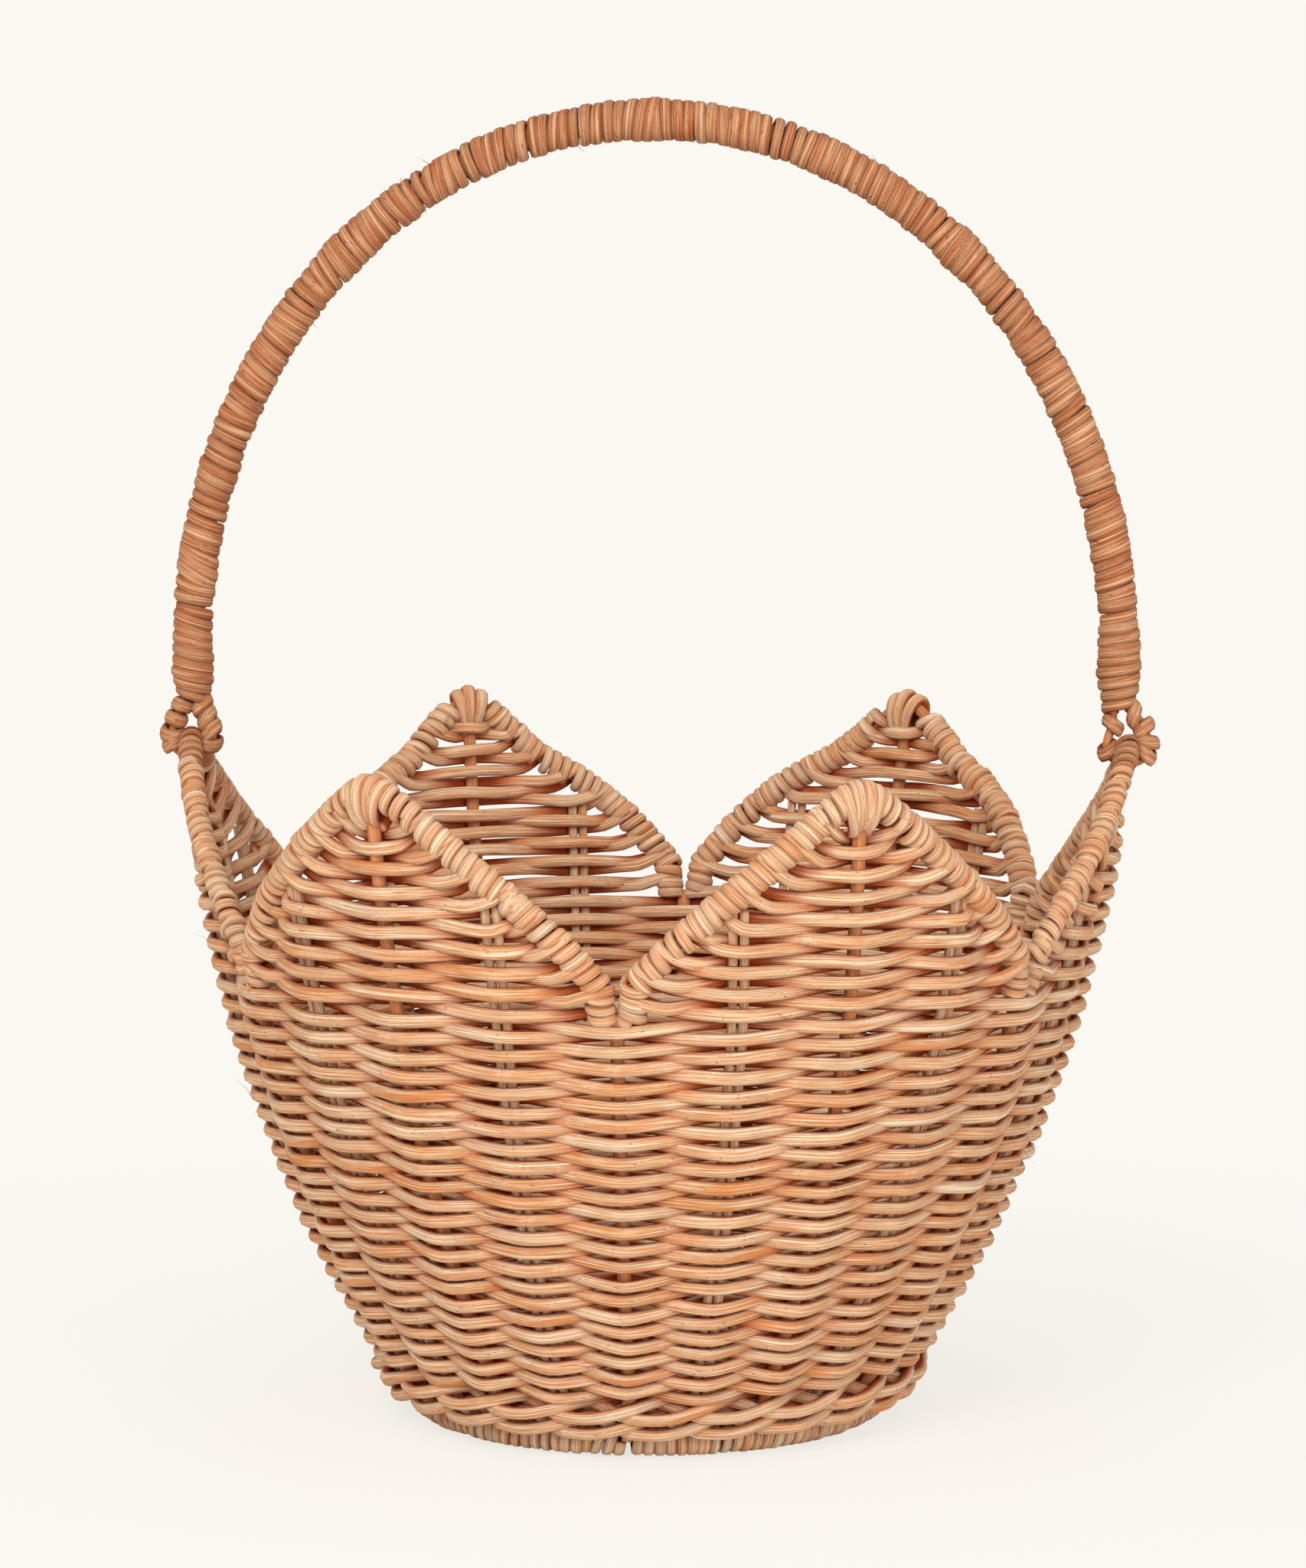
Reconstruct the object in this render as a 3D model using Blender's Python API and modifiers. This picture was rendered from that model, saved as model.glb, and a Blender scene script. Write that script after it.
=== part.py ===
"""Six-petal rattan basket with a swinging arch handle: rods, woven walls and windings as separate pieces.

Metres, +Z up. The basket stands on the XY plane round the Z axis, and its front looks along -Y.
The handle's two eyes hang on the tips of the left and right petals and swing about a line along X.
"""
import math

import bmesh
import bpy
import numpy as np
from mathutils import Vector

# Gap kept between pieces that touch
CLEAR = 0.0003

# Thickness of the rods and canes
STAKE_D = 0.0038
PAIR_ROD_D = 0.0025
WEAVER_D = 0.0030
BORDER_ROD_D = 0.0038
BORDER_CANE_D = 0.0020
BASE_STICK_D = 0.0030
EYE_ROD_D = 0.0022
EYE_CANE_D = 0.0014
HANDLE_CORE_D = 0.0053
HANDLE_CANE_D = 0.0024

# Foot hoop and base
FOOT_HEIGHT = 0.0080
FOOT_OUTER_R = 0.0638
FOOT_WIDTH = 0.0100
FOOT_EDGE = 0.0022
BASE_SKIN = 0.0015
BASE_STICK_SPACING = 0.0120
BASE_STICK_INSET = 0.0010

# Wall: its middle surface is an arc turned round Z, from the foot to the petal tips
WALL_FOOT_OUT = 0.0015
WALL_TIP_R = 0.1262
WALL_SWEEP_R = 0.3710
WALE_HEIGHT = 0.0090
WALE_BULGE = 0.0026
VALLEY_Z = 0.1270
TIP_Z = 0.1850
PAIR_GAP = 0.0004

# Petals: pointed arches with a rounded tip, wrapped thin where a handle eye hangs and bound on the rest
PETAL_NAMES = ("right", "back_right", "back_left", "left", "front_left", "front_right")
LOOP_PETALS = ("right", "left")
TIP_ROUNDING = 0.0055
TIP_STRAIGHTNESS = 0.9
SHOULDER_POWER = 5
THIN_TIP = 0.0150
THIN_TAPER = 0.0030
PANEL_CORNER = 0.0020
LOOP_TIP_D = 0.0056
TIP_BINDING_LENGTH = 0.0210
TIP_BINDING_TURNS = 4

# Handle: half an ellipse on two short straight legs, with a teardrop eye below each
HANDLE_TOP_Z = 0.3600
HANDLE_JOIN_X = 0.0830
HANDLE_JOIN_GAP = 0.0060
HANDLE_LOWER_TURNS = 17
HANDLE_UPPER_TURNS = 13
EYE_PLAY = 0.0003
EYE_DROP = 0.0075
EYE_RISE = 0.0115
EYE_LEG = 0.0100
EYE_WRAP_TURNS = 3
EYE_SHOULDER_POWER = 3

# Facets
ROUND_STEPS = 36
WALL_STEPS = 5
WALE_STEPS = 3
PANEL_COLUMNS = 8
PANEL_ROWS = 4
BORDER_STEPS = 22
TIP_CROWDING = 1.4
CURL_POINTS = 8
FOLD_STEPS = 4
EYE_STEPS = 6
ARCH_STEPS = 32
FINE_POINTS = 400
HALVINGS = 30
PAIR_SIDES = 0
ROD_SIDES = 1
STICK_SIDES = 2

# Sizes that follow from the ones above
PETALS = len(PETAL_NAMES)
PETAL_ANGLE = 2 * math.pi / PETALS
BAY_ANGLE = PETAL_ANGLE / 4
BAYS = 4 * PETALS
WALL_FOOT_R = FOOT_OUTER_R + WALL_FOOT_OUT
WALL = STAKE_D + 2 * WEAVER_D
CURL_STRETCH = 1 / math.cos(math.pi / CURL_POINTS)
TIP_WIND_R = (BORDER_ROD_D / 2 + CLEAR + BORDER_CANE_D / 2) * CURL_STRETCH
BORDER_R = TIP_WIND_R + BORDER_CANE_D / 2
EYE_WIND_R = (EYE_ROD_D / 2 + CLEAR + EYE_CANE_D / 2) * CURL_STRETCH
EYE_HALF_W = LOOP_TIP_D / 2 + EYE_PLAY + EYE_WIND_R + EYE_CANE_D / 2
EYE_LEG_OFFSET = (EYE_ROD_D + CLEAR) / 2
HANDLE_BORE_R = max(HANDLE_CORE_D / 2, EYE_LEG_OFFSET + EYE_ROD_D / 2) + CLEAR
HANDLE_WIND_R = (HANDLE_BORE_R + HANDLE_CANE_D / 2) * CURL_STRETCH
HANDLE_R = HANDLE_WIND_R + HANDLE_CANE_D / 2
HINGE_Z = TIP_Z - LOOP_TIP_D / 2 - CLEAR - EYE_ROD_D / 2
EYE_MIDDLE_Z = HINGE_Z + EYE_DROP
EYE_TOP_Z = EYE_MIDDLE_Z + EYE_RISE
SPRING_Z = EYE_TOP_Z + EYE_LEG + CLEAR
CROWN_Z = HANDLE_TOP_Z - HANDLE_R


# Scene: one collection for the pieces and one for what only cuts them
for old in list(bpy.data.objects):
    bpy.data.objects.remove(old, do_unlink=True)
pieces = bpy.data.collections.new("flower_basket")
cutters = bpy.data.collections.new("stake_channels")
base_cutters = bpy.data.collections.new("stick_channels")
for group in (pieces, cutters, base_cutters):
    bpy.context.scene.collection.children.link(group)


def rattan(name, colour, roughness):
    """A plain cane finish."""
    material = bpy.data.materials.new(name)
    material.use_nodes = True
    shader = material.node_tree.nodes["Principled BSDF"]
    shader.inputs["Base Color"].default_value = (*colour, 1.0)
    shader.inputs["Roughness"].default_value = roughness
    shader.inputs["Metallic"].default_value = 0.0
    return material


WOVEN = rattan("woven_cane", (0.56, 0.27, 0.13), 0.60)
RODS = rattan("bare_rod", (0.44, 0.19, 0.08), 0.45)
WOUND = rattan("wound_cane", (0.49, 0.21, 0.10), 0.55)


def empty(name, place):
    """A marker that carries the pieces of one body."""
    marker = bpy.data.objects.new(name, None)
    marker.location = place
    pieces.objects.link(marker)
    return marker


BASKET = empty("basket_body", (0, 0, 0))
HANDLE = empty("handle_hinge", (0, 0, HINGE_Z))
bpy.context.view_layer.update()


def add(name, data, material, body, azimuth=0.0):
    """One piece on its body, turned about the basket's axis."""
    piece = bpy.data.objects.new(name, data)
    pieces.objects.link(piece)
    piece.parent = body
    piece.matrix_parent_inverse = body.matrix_world.inverted()
    piece.rotation_euler.z = azimuth
    if not data.materials:
        data.materials.append(material)
    return piece


def rod_curve(name, points, diameter, sides_step, radii=None):
    """A round rod along points; sides_step 0, 1 or 2 gives 4, 6 or 8 sides."""
    curve = bpy.data.curves.new(name, "CURVE")
    curve.dimensions = "3D"
    curve.bevel_depth = diameter / 2
    curve.bevel_resolution = sides_step
    curve.use_fill_caps = True
    spline = curve.splines.new("POLY")
    spline.points.add(len(points) - 1)
    for index, (target, point) in enumerate(zip(spline.points, points)):
        target.co = (*point, 1.0)
        target.radius = 1.0 if radii is None else radii[index]
    return curve


def turned(name, profile, material):
    """A closed (radius, height) outline turned round Z; it runs down its outer side first."""
    mesh = bpy.data.meshes.new(name)
    count = len(profile)
    edges = [(index, (index + 1) % count) for index in range(count)]
    mesh.from_pydata([(radius, 0.0, height) for radius, height in profile], edges, [])
    piece = add(name, mesh, material, BASKET)
    screw = piece.modifiers.new("turn", "SCREW")
    screw.axis = "Z"
    screw.angle = 2 * math.pi
    screw.steps = ROUND_STEPS
    screw.render_steps = ROUND_STEPS
    screw.use_merge_vertices = True
    screw.merge_threshold = 0.00001
    screw.use_smooth_shade = False
    return piece


def swelled(name, full, slim, material):
    """A ring lofted through two closed outlines in turn: full at each stake, slim half way to the next."""
    shape = bmesh.new()
    loops = []
    for step in range(2 * BAYS):
        azimuth = BAY_ANGLE / 2 * step
        corners = [shape.verts.new((radius * math.cos(azimuth), radius * math.sin(azimuth), height))
                   for radius, height in (slim if step % 2 else full)]
        loops.append([shape.edges.new(ends) for ends in zip(corners, corners[1:] + corners[:1])])
    for loop, after in zip(loops, loops[1:] + loops[:1]):
        bmesh.ops.bridge_loops(shape, edges=loop + after)
    bmesh.ops.recalc_face_normals(shape, faces=shape.faces)
    mesh = bpy.data.meshes.new(name)
    shape.to_mesh(mesh)
    shape.free()
    return add(name, mesh, material, BASKET)


def cut_by(piece, group):
    """Cut every channel of a collection out of a piece."""
    cut = piece.modifiers.new("channels", "BOOLEAN")
    cut.operation = "DIFFERENCE"
    cut.operand_type = "COLLECTION"
    cut.collection = group
    cut.solver = "EXACT"


# The wall's arc in the (radius, height) plane
wall_foot = Vector((WALL_FOOT_R, FOOT_HEIGHT + CLEAR))
wall_tip = Vector((WALL_TIP_R, TIP_Z))
wall_chord = wall_tip - wall_foot
wall_inward = Vector((-wall_chord.y, wall_chord.x)).normalized()
wall_depth = math.sqrt(WALL_SWEEP_R ** 2 - (wall_chord.length / 2) ** 2)
wall_centre = (wall_foot + wall_tip) / 2 + wall_inward * wall_depth
WALL_START = math.atan2(wall_foot.y - wall_centre.y, wall_foot.x - wall_centre.x)


def wall_profile(rise, out=0.0):
    """Radius and height of the wall at an arc length up it, moved out along its normal."""
    angle = WALL_START + rise / WALL_SWEEP_R
    reach = WALL_SWEEP_R + out
    return (wall_centre.x + reach * math.cos(angle), wall_centre.y + reach * math.sin(angle))


def wall_point(azimuth, rise, out=0.0):
    """The same point at an azimuth."""
    radius, height = wall_profile(rise, out)
    return Vector((radius * math.cos(azimuth), radius * math.sin(azimuth), height))


def wall_normal(azimuth, rise):
    """The wall's outward direction."""
    return wall_point(azimuth, rise, 1.0) - wall_point(azimuth, rise)


def wall_rise(height):
    """Arc length up the wall at a height."""
    return WALL_SWEEP_R * (math.asin((height - wall_centre.y) / WALL_SWEEP_R) - WALL_START)


def wall_radius(height, out):
    """Radius of a wall face at a height."""
    return wall_centre.x + math.sqrt((WALL_SWEEP_R + out) ** 2 - (height - wall_centre.y) ** 2)


VALLEY_RISE = wall_rise(VALLEY_Z)
TIP_RISE = wall_rise(TIP_Z)


# Petal borders: a pointed arch on the wall's middle surface, from its feet at the valleys to its tip
VALLEY_R = wall_profile(VALLEY_RISE)[0]
BORDER_HALF_ANGLE = PETAL_ANGLE / 2 - (BORDER_R + CLEAR / 2) / VALLEY_R
BORDER_FOOT_RISE = VALLEY_RISE + 2 * BORDER_R


def softened(distance):
    """A distance from the tip, rounded off close to it."""
    return math.hypot(distance, TIP_ROUNDING) - TIP_ROUNDING


def border_rise(offset):
    """Height up the wall of the border at an angle from the petal's middle."""
    share = softened(offset * WALL_TIP_R) / softened(BORDER_HALF_ANGLE * WALL_TIP_R)
    drop = TIP_STRAIGHTNESS * share + (1 - TIP_STRAIGHTNESS) * share ** SHOULDER_POWER
    return TIP_RISE - drop * (TIP_RISE - BORDER_FOOT_RISE)


def border_line(count):
    """Points along the arch, closer together round the tip, and down its two straight feet."""
    foot = VALLEY_RISE + CLEAR
    line = [wall_point(-BORDER_HALF_ANGLE, foot)]
    for index in range(count + 1):
        share = 2 * index / count - 1
        offset = BORDER_HALF_ANGLE * math.copysign(abs(share) ** TIP_CROWDING, share)
        line.append(wall_point(offset, border_rise(offset)))
    line.append(wall_point(BORDER_HALF_ANGLE, foot))
    return line


def evenly(line, count):
    """The same line as evenly spaced points."""
    line = np.array([tuple(point) for point in line])
    length = np.concatenate([[0.0], np.cumsum(np.linalg.norm(np.diff(line, axis=0), axis=1))])
    place = np.linspace(0.0, length[-1], count)
    return np.stack([np.interp(place, length, line[:, axis]) for axis in range(3)], axis=1)


# What fills a petal stays clear of its border and, under the tip, of the eye of a handle loop
EYE_ROOM = LOOP_TIP_D / 2 + EYE_ROD_D + 3 * CLEAR
BORDER_POINTS = evenly(border_line(FINE_POINTS), 2 * FINE_POINTS)


def inner_rise(offset):
    """Highest point under the border, clear of its winding, at an angle from the petal's middle."""
    low, high = VALLEY_RISE, border_rise(offset)
    for _ in range(HALVINGS):
        middle = (low + high) / 2
        away = np.linalg.norm(BORDER_POINTS - np.array(wall_point(offset, middle)), axis=1).min()
        if away > BORDER_R + CLEAR:
            low = middle
        else:
            high = middle
    return min(low, TIP_RISE - EYE_ROOM)


def border_curve(name, tip_d):
    """A border rod at its wrapped thickness, thinner round the tip, with feet square on the siding."""
    line = border_line(BORDER_STEPS)
    tip = wall_point(0.0, TIP_RISE)
    thin = tip_d / 2 / BORDER_R
    radii = []
    for point in line:
        wrapped = min(max(((point - tip).length - THIN_TIP) / THIN_TAPER, 0.0), 1.0)
        radii.append(thin + (1 - thin) * wrapped)
    return rod_curve(name, line, 2 * BORDER_R, ROD_SIDES, radii)


# Windings
def wind(line, faces, turns, radius, cane, hand):
    """Points of a cane wound round a line; each end runs straight for one cane thickness."""
    line = np.array([tuple(point) for point in line])
    faces = np.array([tuple(face) for face in faces])
    along = np.gradient(line, axis=0)
    along /= np.linalg.norm(along, axis=1)[:, None]
    side = faces - np.sum(faces * along, axis=1)[:, None] * along
    side /= np.linalg.norm(side, axis=1)[:, None]
    across = np.cross(along, side)
    length = np.concatenate([[0.0], np.cumsum(np.linalg.norm(np.diff(line, axis=0), axis=1))])
    place = np.linspace(0.0, length[-1], turns * CURL_POINTS + 1)
    turn = hand * 2 * math.pi * turns * place / length[-1]

    def picked(values):
        return np.stack([np.interp(place, length, values[:, axis]) for axis in range(3)], axis=1)

    curl = picked(side) * np.cos(turn)[:, None] + picked(across) * np.sin(turn)[:, None]
    points = picked(line) + radius * curl
    first = points[0] - points[1]
    last = points[-1] - points[-2]
    head = points[0] + first / np.linalg.norm(first) * cane
    tail = points[-1] + last / np.linalg.norm(last) * cane
    return np.vstack([head, points, tail])


def least_gap(points, radius, cane):
    """Smallest gap of a wound cane to its own other turns, measured on points along it."""
    shares = np.linspace(0.0, 1.0, 6)[:-1, None, None]
    dense = ((1 - shares) * points[:-1] + shares * points[1:]).transpose(1, 0, 2).reshape(-1, 3)
    length = np.concatenate([[0.0], np.cumsum(np.linalg.norm(np.diff(dense, axis=0), axis=1))])
    apart = np.abs(length[:, None] - length[None, :]) > math.pi * radius
    distance = np.linalg.norm(dense[:, None, :] - dense[None, :, :], axis=2)
    return distance[apart].min() - cane


def wound_piece(name, line, faces, turns, radius, cane, hand, body, azimuths=(0.0,), names=None):
    """A winding as one tube; copies share its curve."""
    points = wind(line, faces, turns, radius, cane, hand)
    print(f"{name}: least gap to itself {least_gap(points, radius, cane) * 1000:.2f} mm")
    curve = rod_curve(name, points, cane, ROD_SIDES)
    for copy, azimuth in zip(names or (name,), azimuths):
        add(copy, curve, WOUND, body, azimuth)


# Foot hoop: a flat-bottomed ring with rounded edges
def foot_hoop():
    outer = FOOT_OUTER_R
    inner = FOOT_OUTER_R - FOOT_WIDTH
    top = FOOT_HEIGHT
    profile = [
        (outer - FOOT_EDGE, top),
        (outer, top - FOOT_EDGE),
        (outer, FOOT_EDGE),
        (outer - FOOT_EDGE, 0.0),
        (inner, 0.0),
        (inner, top),
    ]
    turned("foot_hoop", profile, WOUND)


# Base: a woven disc that fits the wall's inside, with two pairs of crossing sticks through it
BASE_BOTTOM = FOOT_HEIGHT + CLEAR
BASE_LAYER = BASE_STICK_D + 2 * CLEAR
BASE_THICK = 2 * BASE_LAYER + 2 * BASE_SKIN
BASE_LOW_R = wall_radius(BASE_BOTTOM, -WALL / 2) - CLEAR
BASE_HIGH_R = wall_radius(BASE_BOTTOM + BASE_THICK, -WALL / 2) - CLEAR


def base():
    bpy.ops.mesh.primitive_cone_add(
        vertices=ROUND_STEPS, radius1=BASE_LOW_R, radius2=BASE_HIGH_R, depth=BASE_THICK)
    mesh = bpy.context.object.data
    bpy.data.objects.remove(bpy.context.object)
    disc = add("base_weave", mesh, WOVEN, BASKET)
    disc.location.z = BASE_BOTTOM + BASE_THICK / 2
    lower = BASE_BOTTOM + BASE_SKIN + BASE_LAYER / 2
    for layer, turn, label in ((0, 0.0, "lower"), (1, math.pi / 2, "upper")):
        height = lower + layer * BASE_LAYER
        low_r = BASE_LOW_R + (BASE_HIGH_R - BASE_LOW_R) * (height - BASE_BOTTOM) / BASE_THICK
        reach = math.sqrt(low_r ** 2 - (BASE_STICK_SPACING / 2) ** 2)
        for number, side in ((1, -1), (2, 1)):
            base_stick(f"base_stick_{label}_{number}", reach, side, height, turn)
    cut_by(disc, base_cutters)


def base_stick(name, reach, side, height, turn):
    """A straight stick across the base, and the channel it lies in."""
    middle = side * BASE_STICK_SPACING / 2
    end = reach - BASE_STICK_INSET
    curve = rod_curve(name, [(-end, middle, height), (end, middle, height)], BASE_STICK_D, STICK_SIDES)
    add(name, curve, RODS, BASKET, turn)
    bpy.ops.mesh.primitive_cube_add(size=1.0)
    channel = bpy.context.object
    channel.name = name + "_channel"
    channel.scale = (2 * BASE_HIGH_R + WALL, BASE_LAYER, BASE_LAYER + CLEAR)
    channel.location = Vector((-math.sin(turn) * middle, math.cos(turn) * middle, height))
    channel.rotation_euler.z = turn
    as_cutter(channel, base_cutters)


def as_cutter(tool, group):
    """Keep a tool out of the finished part."""
    for holder in list(tool.users_collection):
        holder.objects.unlink(tool)
    group.objects.link(tool)
    tool.hide_render = True
    tool.display_type = "WIRE"


# Stakes: upright rods in channels through the woven wall
def stake_rail(rise):
    """The wall's middle as straight stretches, which the stakes and their channels share."""
    place = rise / TIP_RISE * WALL_STEPS
    step = min(max(math.floor(place), 0), WALL_STEPS - 1)
    low = wall_point(0.0, TIP_RISE * step / WALL_STEPS)
    high = wall_point(0.0, TIP_RISE * (step + 1) / WALL_STEPS)
    return low.lerp(high, place - step)


def rail_rises(start, stop):
    """Where the rail bends between two heights, with both ends."""
    bends = [TIP_RISE * index / WALL_STEPS for index in range(WALL_STEPS + 1)]
    return [start] + [bend for bend in bends if start < bend < stop] + [stop]


def stake_line(top_rise, side):
    """A rod up the middle of the wall, moved sideways."""
    rail = [stake_rail(rise) for rise in rail_rises(0.0, top_rise)]
    return [(point.x, side, point.z) for point in rail]


def stake_channel(name, width, depth, azimuths):
    """A slot along the wall's arc, wide enough for a stake and its clearance, at each azimuth."""
    rail = [stake_rail(rise) for rise in rail_rises(-WALL, TIP_RISE + WALL)]
    outline = []
    for side in (1, -1):
        offset_rail = []
        for index, point in enumerate(rail):
            along = rail[min(index + 1, len(rail) - 1)] - rail[max(index - 1, 0)]
            out = Vector((along.z, 0.0, -along.x)).normalized()
            offset_rail.append(point + out * side * depth / 2)
        outline += offset_rail[::side]
    shape = bmesh.new()
    corners = [shape.verts.new((point.x, -width / 2, point.z)) for point in outline]
    face = shape.faces.new(corners)
    moved = bmesh.ops.extrude_face_region(shape, geom=[face])["geom"]
    lifted = [item for item in moved if isinstance(item, bmesh.types.BMVert)]
    bmesh.ops.translate(shape, verts=lifted, vec=(0.0, width, 0.0))
    bmesh.ops.recalc_face_normals(shape, faces=shape.faces)
    mesh = bpy.data.meshes.new(name)
    shape.to_mesh(mesh)
    shape.free()
    for number, azimuth in enumerate(azimuths, 1):
        tool = bpy.data.objects.new(f"{name}_{number}", mesh)
        tool.rotation_euler.z = azimuth
        as_cutter(tool, cutters)


def stakes():
    middles = [index * PETAL_ANGLE for index in range(PETALS)]
    valleys = [middle + PETAL_ANGLE / 2 for middle in middles]
    pairs = [middle + side * BAY_ANGLE for middle in middles for side in (-1, 1)]

    tip_half = STAKE_D / 2 / WALL_TIP_R
    tall = rod_curve("stake_tip", stake_line(inner_rise(tip_half) - CLEAR, 0.0), STAKE_D, ROD_SIDES)
    for name, azimuth in zip(PETAL_NAMES, middles):
        add(f"tip_stake_{name}", tall, RODS, BASKET, azimuth)

    short = rod_curve("stake_valley", stake_line(VALLEY_RISE, 0.0), STAKE_D, ROD_SIDES)
    for number, azimuth in enumerate(valleys, 1):
        add(f"valley_stake_{number}", short, RODS, BASKET, azimuth)

    side = (PAIR_ROD_D + PAIR_GAP) / 2
    pair_half = (side + PAIR_ROD_D / 2) / VALLEY_R
    leg = stake_line(inner_rise(BAY_ANGLE + pair_half), side)
    turns = [math.pi * index / FOLD_STEPS for index in range(1, FOLD_STEPS)]
    fold = [(leg[0][0], side * math.cos(turn), leg[0][2] - side * math.sin(turn)) for turn in turns]
    other = [(x, -y, z) for x, y, z in leg]
    folded = rod_curve("stake_pair", leg[::-1] + fold + other, PAIR_ROD_D, PAIR_SIDES)
    for number, azimuth in enumerate(pairs, 1):
        add(f"stake_pair_{number}", folded, RODS, BASKET, azimuth)

    stake_channel("single_channel", STAKE_D + 2 * CLEAR, STAKE_D + 2 * CLEAR, middles + valleys)
    pair_width = 2 * (side + PAIR_ROD_D / 2 + CLEAR)
    stake_channel("pair_channel", pair_width, PAIR_ROD_D + 2 * CLEAR, pairs)


# Woven wall: the bulging wale at the foot, then the siding up to the valleys. At a stake the weavers pass on
# both sides of it, and between two stakes they cross, so the siding is only one weaver thick there.
def wall():
    half = WALL / 2
    bottom = FOOT_HEIGHT + CLEAR
    wale = []
    for index in range(WALE_STEPS, 0, -1):
        rise = WALE_HEIGHT * index / WALE_STEPS
        bulge = WALE_BULGE * math.sin(math.pi * rise / WALE_HEIGHT)
        wale.append(wall_profile(rise, half + bulge))
    wale.append((wall_radius(bottom, half), bottom))
    wale.append((wall_radius(bottom, -half), bottom))
    wale.append(wall_profile(WALE_HEIGHT, -half))
    cut_by(turned("foot_wale", wale, WOVEN), cutters)

    low = WALE_HEIGHT + CLEAR
    rises = [low + (VALLEY_RISE - low) * index / WALL_STEPS for index in range(WALL_STEPS + 1)]
    outlines = []
    for out in (half, WEAVER_D / 2):
        outer = [wall_profile(rise, out) for rise in reversed(rises)]
        outlines.append(outer + [wall_profile(rise, -out) for rise in rises])
    cut_by(swelled("siding_weave", *outlines, WOVEN), cutters)


# Petals: woven panels inside their borders, and the windings over four of the tips
def panel_reach():
    """Angle from the petal's middle at which the panel is down to its corner height."""
    low, high = 0.0, BORDER_HALF_ANGLE
    for _ in range(HALVINGS):
        middle = (low + high) / 2
        if inner_rise(middle) > VALLEY_RISE + CLEAR + PANEL_CORNER:
            low = middle
        else:
            high = middle
    return low


def panel_mesh():
    """The panel's middle surface: a grid laid on the wall from the siding up to the border.

    Its columns stand on the stakes, on the border and half way between them, where it is slim.
    """
    shape = bmesh.new()
    bmesh.ops.create_grid(shape, x_segments=PANEL_COLUMNS, y_segments=PANEL_ROWS, size=1.0)
    thick = shape.verts.layers.deform.verify()
    reach = panel_reach()
    columns = (0.0, BAY_ANGLE / 2, BAY_ANGLE, (BAY_ANGLE + reach) / 2, reach)
    for vert in shape.verts:
        place = round(vert.co.x * PANEL_COLUMNS / 2)
        offset = math.copysign(columns[abs(place)], place)
        vert[thick][0] = 0.0 if place % 2 else 1.0
        bottom = VALLEY_RISE + CLEAR
        rise = bottom + (inner_rise(offset) - bottom) * (vert.co.y + 1) / 2
        vert.co = wall_point(offset, rise)
    mesh = bpy.data.meshes.new("petal_weave")
    shape.to_mesh(mesh)
    shape.free()
    return mesh


def petals():
    mesh = panel_mesh()
    loop_border = border_curve("loop_border", LOOP_TIP_D)
    bound_border = border_curve("bound_border", BORDER_ROD_D)
    tip = wall_point(0.0, TIP_RISE)
    wound = [point for point in border_line(FINE_POINTS) if (point - tip).length < TIP_BINDING_LENGTH / 2]
    faces = [wall_normal(0.0, TIP_RISE)] * len(wound)
    bound = []
    for index, name in enumerate(PETAL_NAMES):
        azimuth = index * PETAL_ANGLE
        panel = add(f"petal_weave_{name}", mesh, WOVEN, BASKET, azimuth)
        if not panel.vertex_groups:
            panel.vertex_groups.new(name="stakes")
        thick = panel.modifiers.new("thickness", "SOLIDIFY")
        thick.thickness = WALL
        thick.offset = 0.0
        thick.vertex_group = "stakes"
        thick.thickness_vertex_group = WEAVER_D / WALL
        cut_by(panel, cutters)
        hung = name in LOOP_PETALS
        add(f"petal_border_{name}", loop_border if hung else bound_border, WOUND, BASKET, azimuth)
        if not hung:
            bound.append((f"tip_binding_{name}", azimuth))
    wound_piece("tip_binding", wound, faces, TIP_BINDING_TURNS, TIP_WIND_R, BORDER_CANE_D, 1, BASKET,
                [azimuth for _, azimuth in bound], [name for name, _ in bound])


# Handle eyes: a thin rod bent to a teardrop, both legs up under the handle's wrap
def eye_half(points_below, points_above):
    """Outline of one side of the eye as (sideways, height), from its lowest point to its top."""
    half = []
    for index in range(points_below + 1):
        turn = math.pi / 2 * index / points_below
        half.append((EYE_HALF_W * math.sin(turn), EYE_MIDDLE_Z - EYE_DROP * math.cos(turn)))
    for index in range(1, points_above + 1):
        share = index / points_above
        spread = 1 - share ** EYE_SHOULDER_POWER
        half.append((EYE_LEG_OFFSET + (EYE_HALF_W - EYE_LEG_OFFSET) * spread,
                     EYE_MIDDLE_Z + EYE_RISE * share))
    return half


def eyes():
    half = eye_half(EYE_STEPS, EYE_STEPS)
    legs = half + [(EYE_LEG_OFFSET, EYE_TOP_Z + EYE_LEG)]
    outline = [(-x, z) for x, z in reversed(legs)] + legs[1:]
    bare_z = HINGE_Z + EYE_ROD_D / 2 + CLEAR + LOOP_TIP_D
    apart = EYE_WIND_R + EYE_CANE_D / 2 + CLEAR
    covered = [(x, z) for x, z in eye_half(FINE_POINTS, FINE_POINTS) if z > bare_z and x > apart]
    for label, side in (("left", -1), ("right", 1)):
        centre = side * WALL_TIP_R
        points = [(centre + x, 0.0, z) for x, z in outline]
        add(f"eye_{label}", rod_curve(f"eye_{label}", points, EYE_ROD_D, ROD_SIDES), RODS, HANDLE)
        for face, way in (("outer", side), ("inner", -side)):
            line = [Vector((centre + way * x, 0.0, z)) for x, z in covered]
            faces = [Vector((0.0, 1.0, 0.0))] * len(line)
            wound_piece(f"eye_wrap_{label}_{face}", line, faces, EYE_WRAP_TURNS, EYE_WIND_R,
                        EYE_CANE_D, -way, HANDLE)


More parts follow.
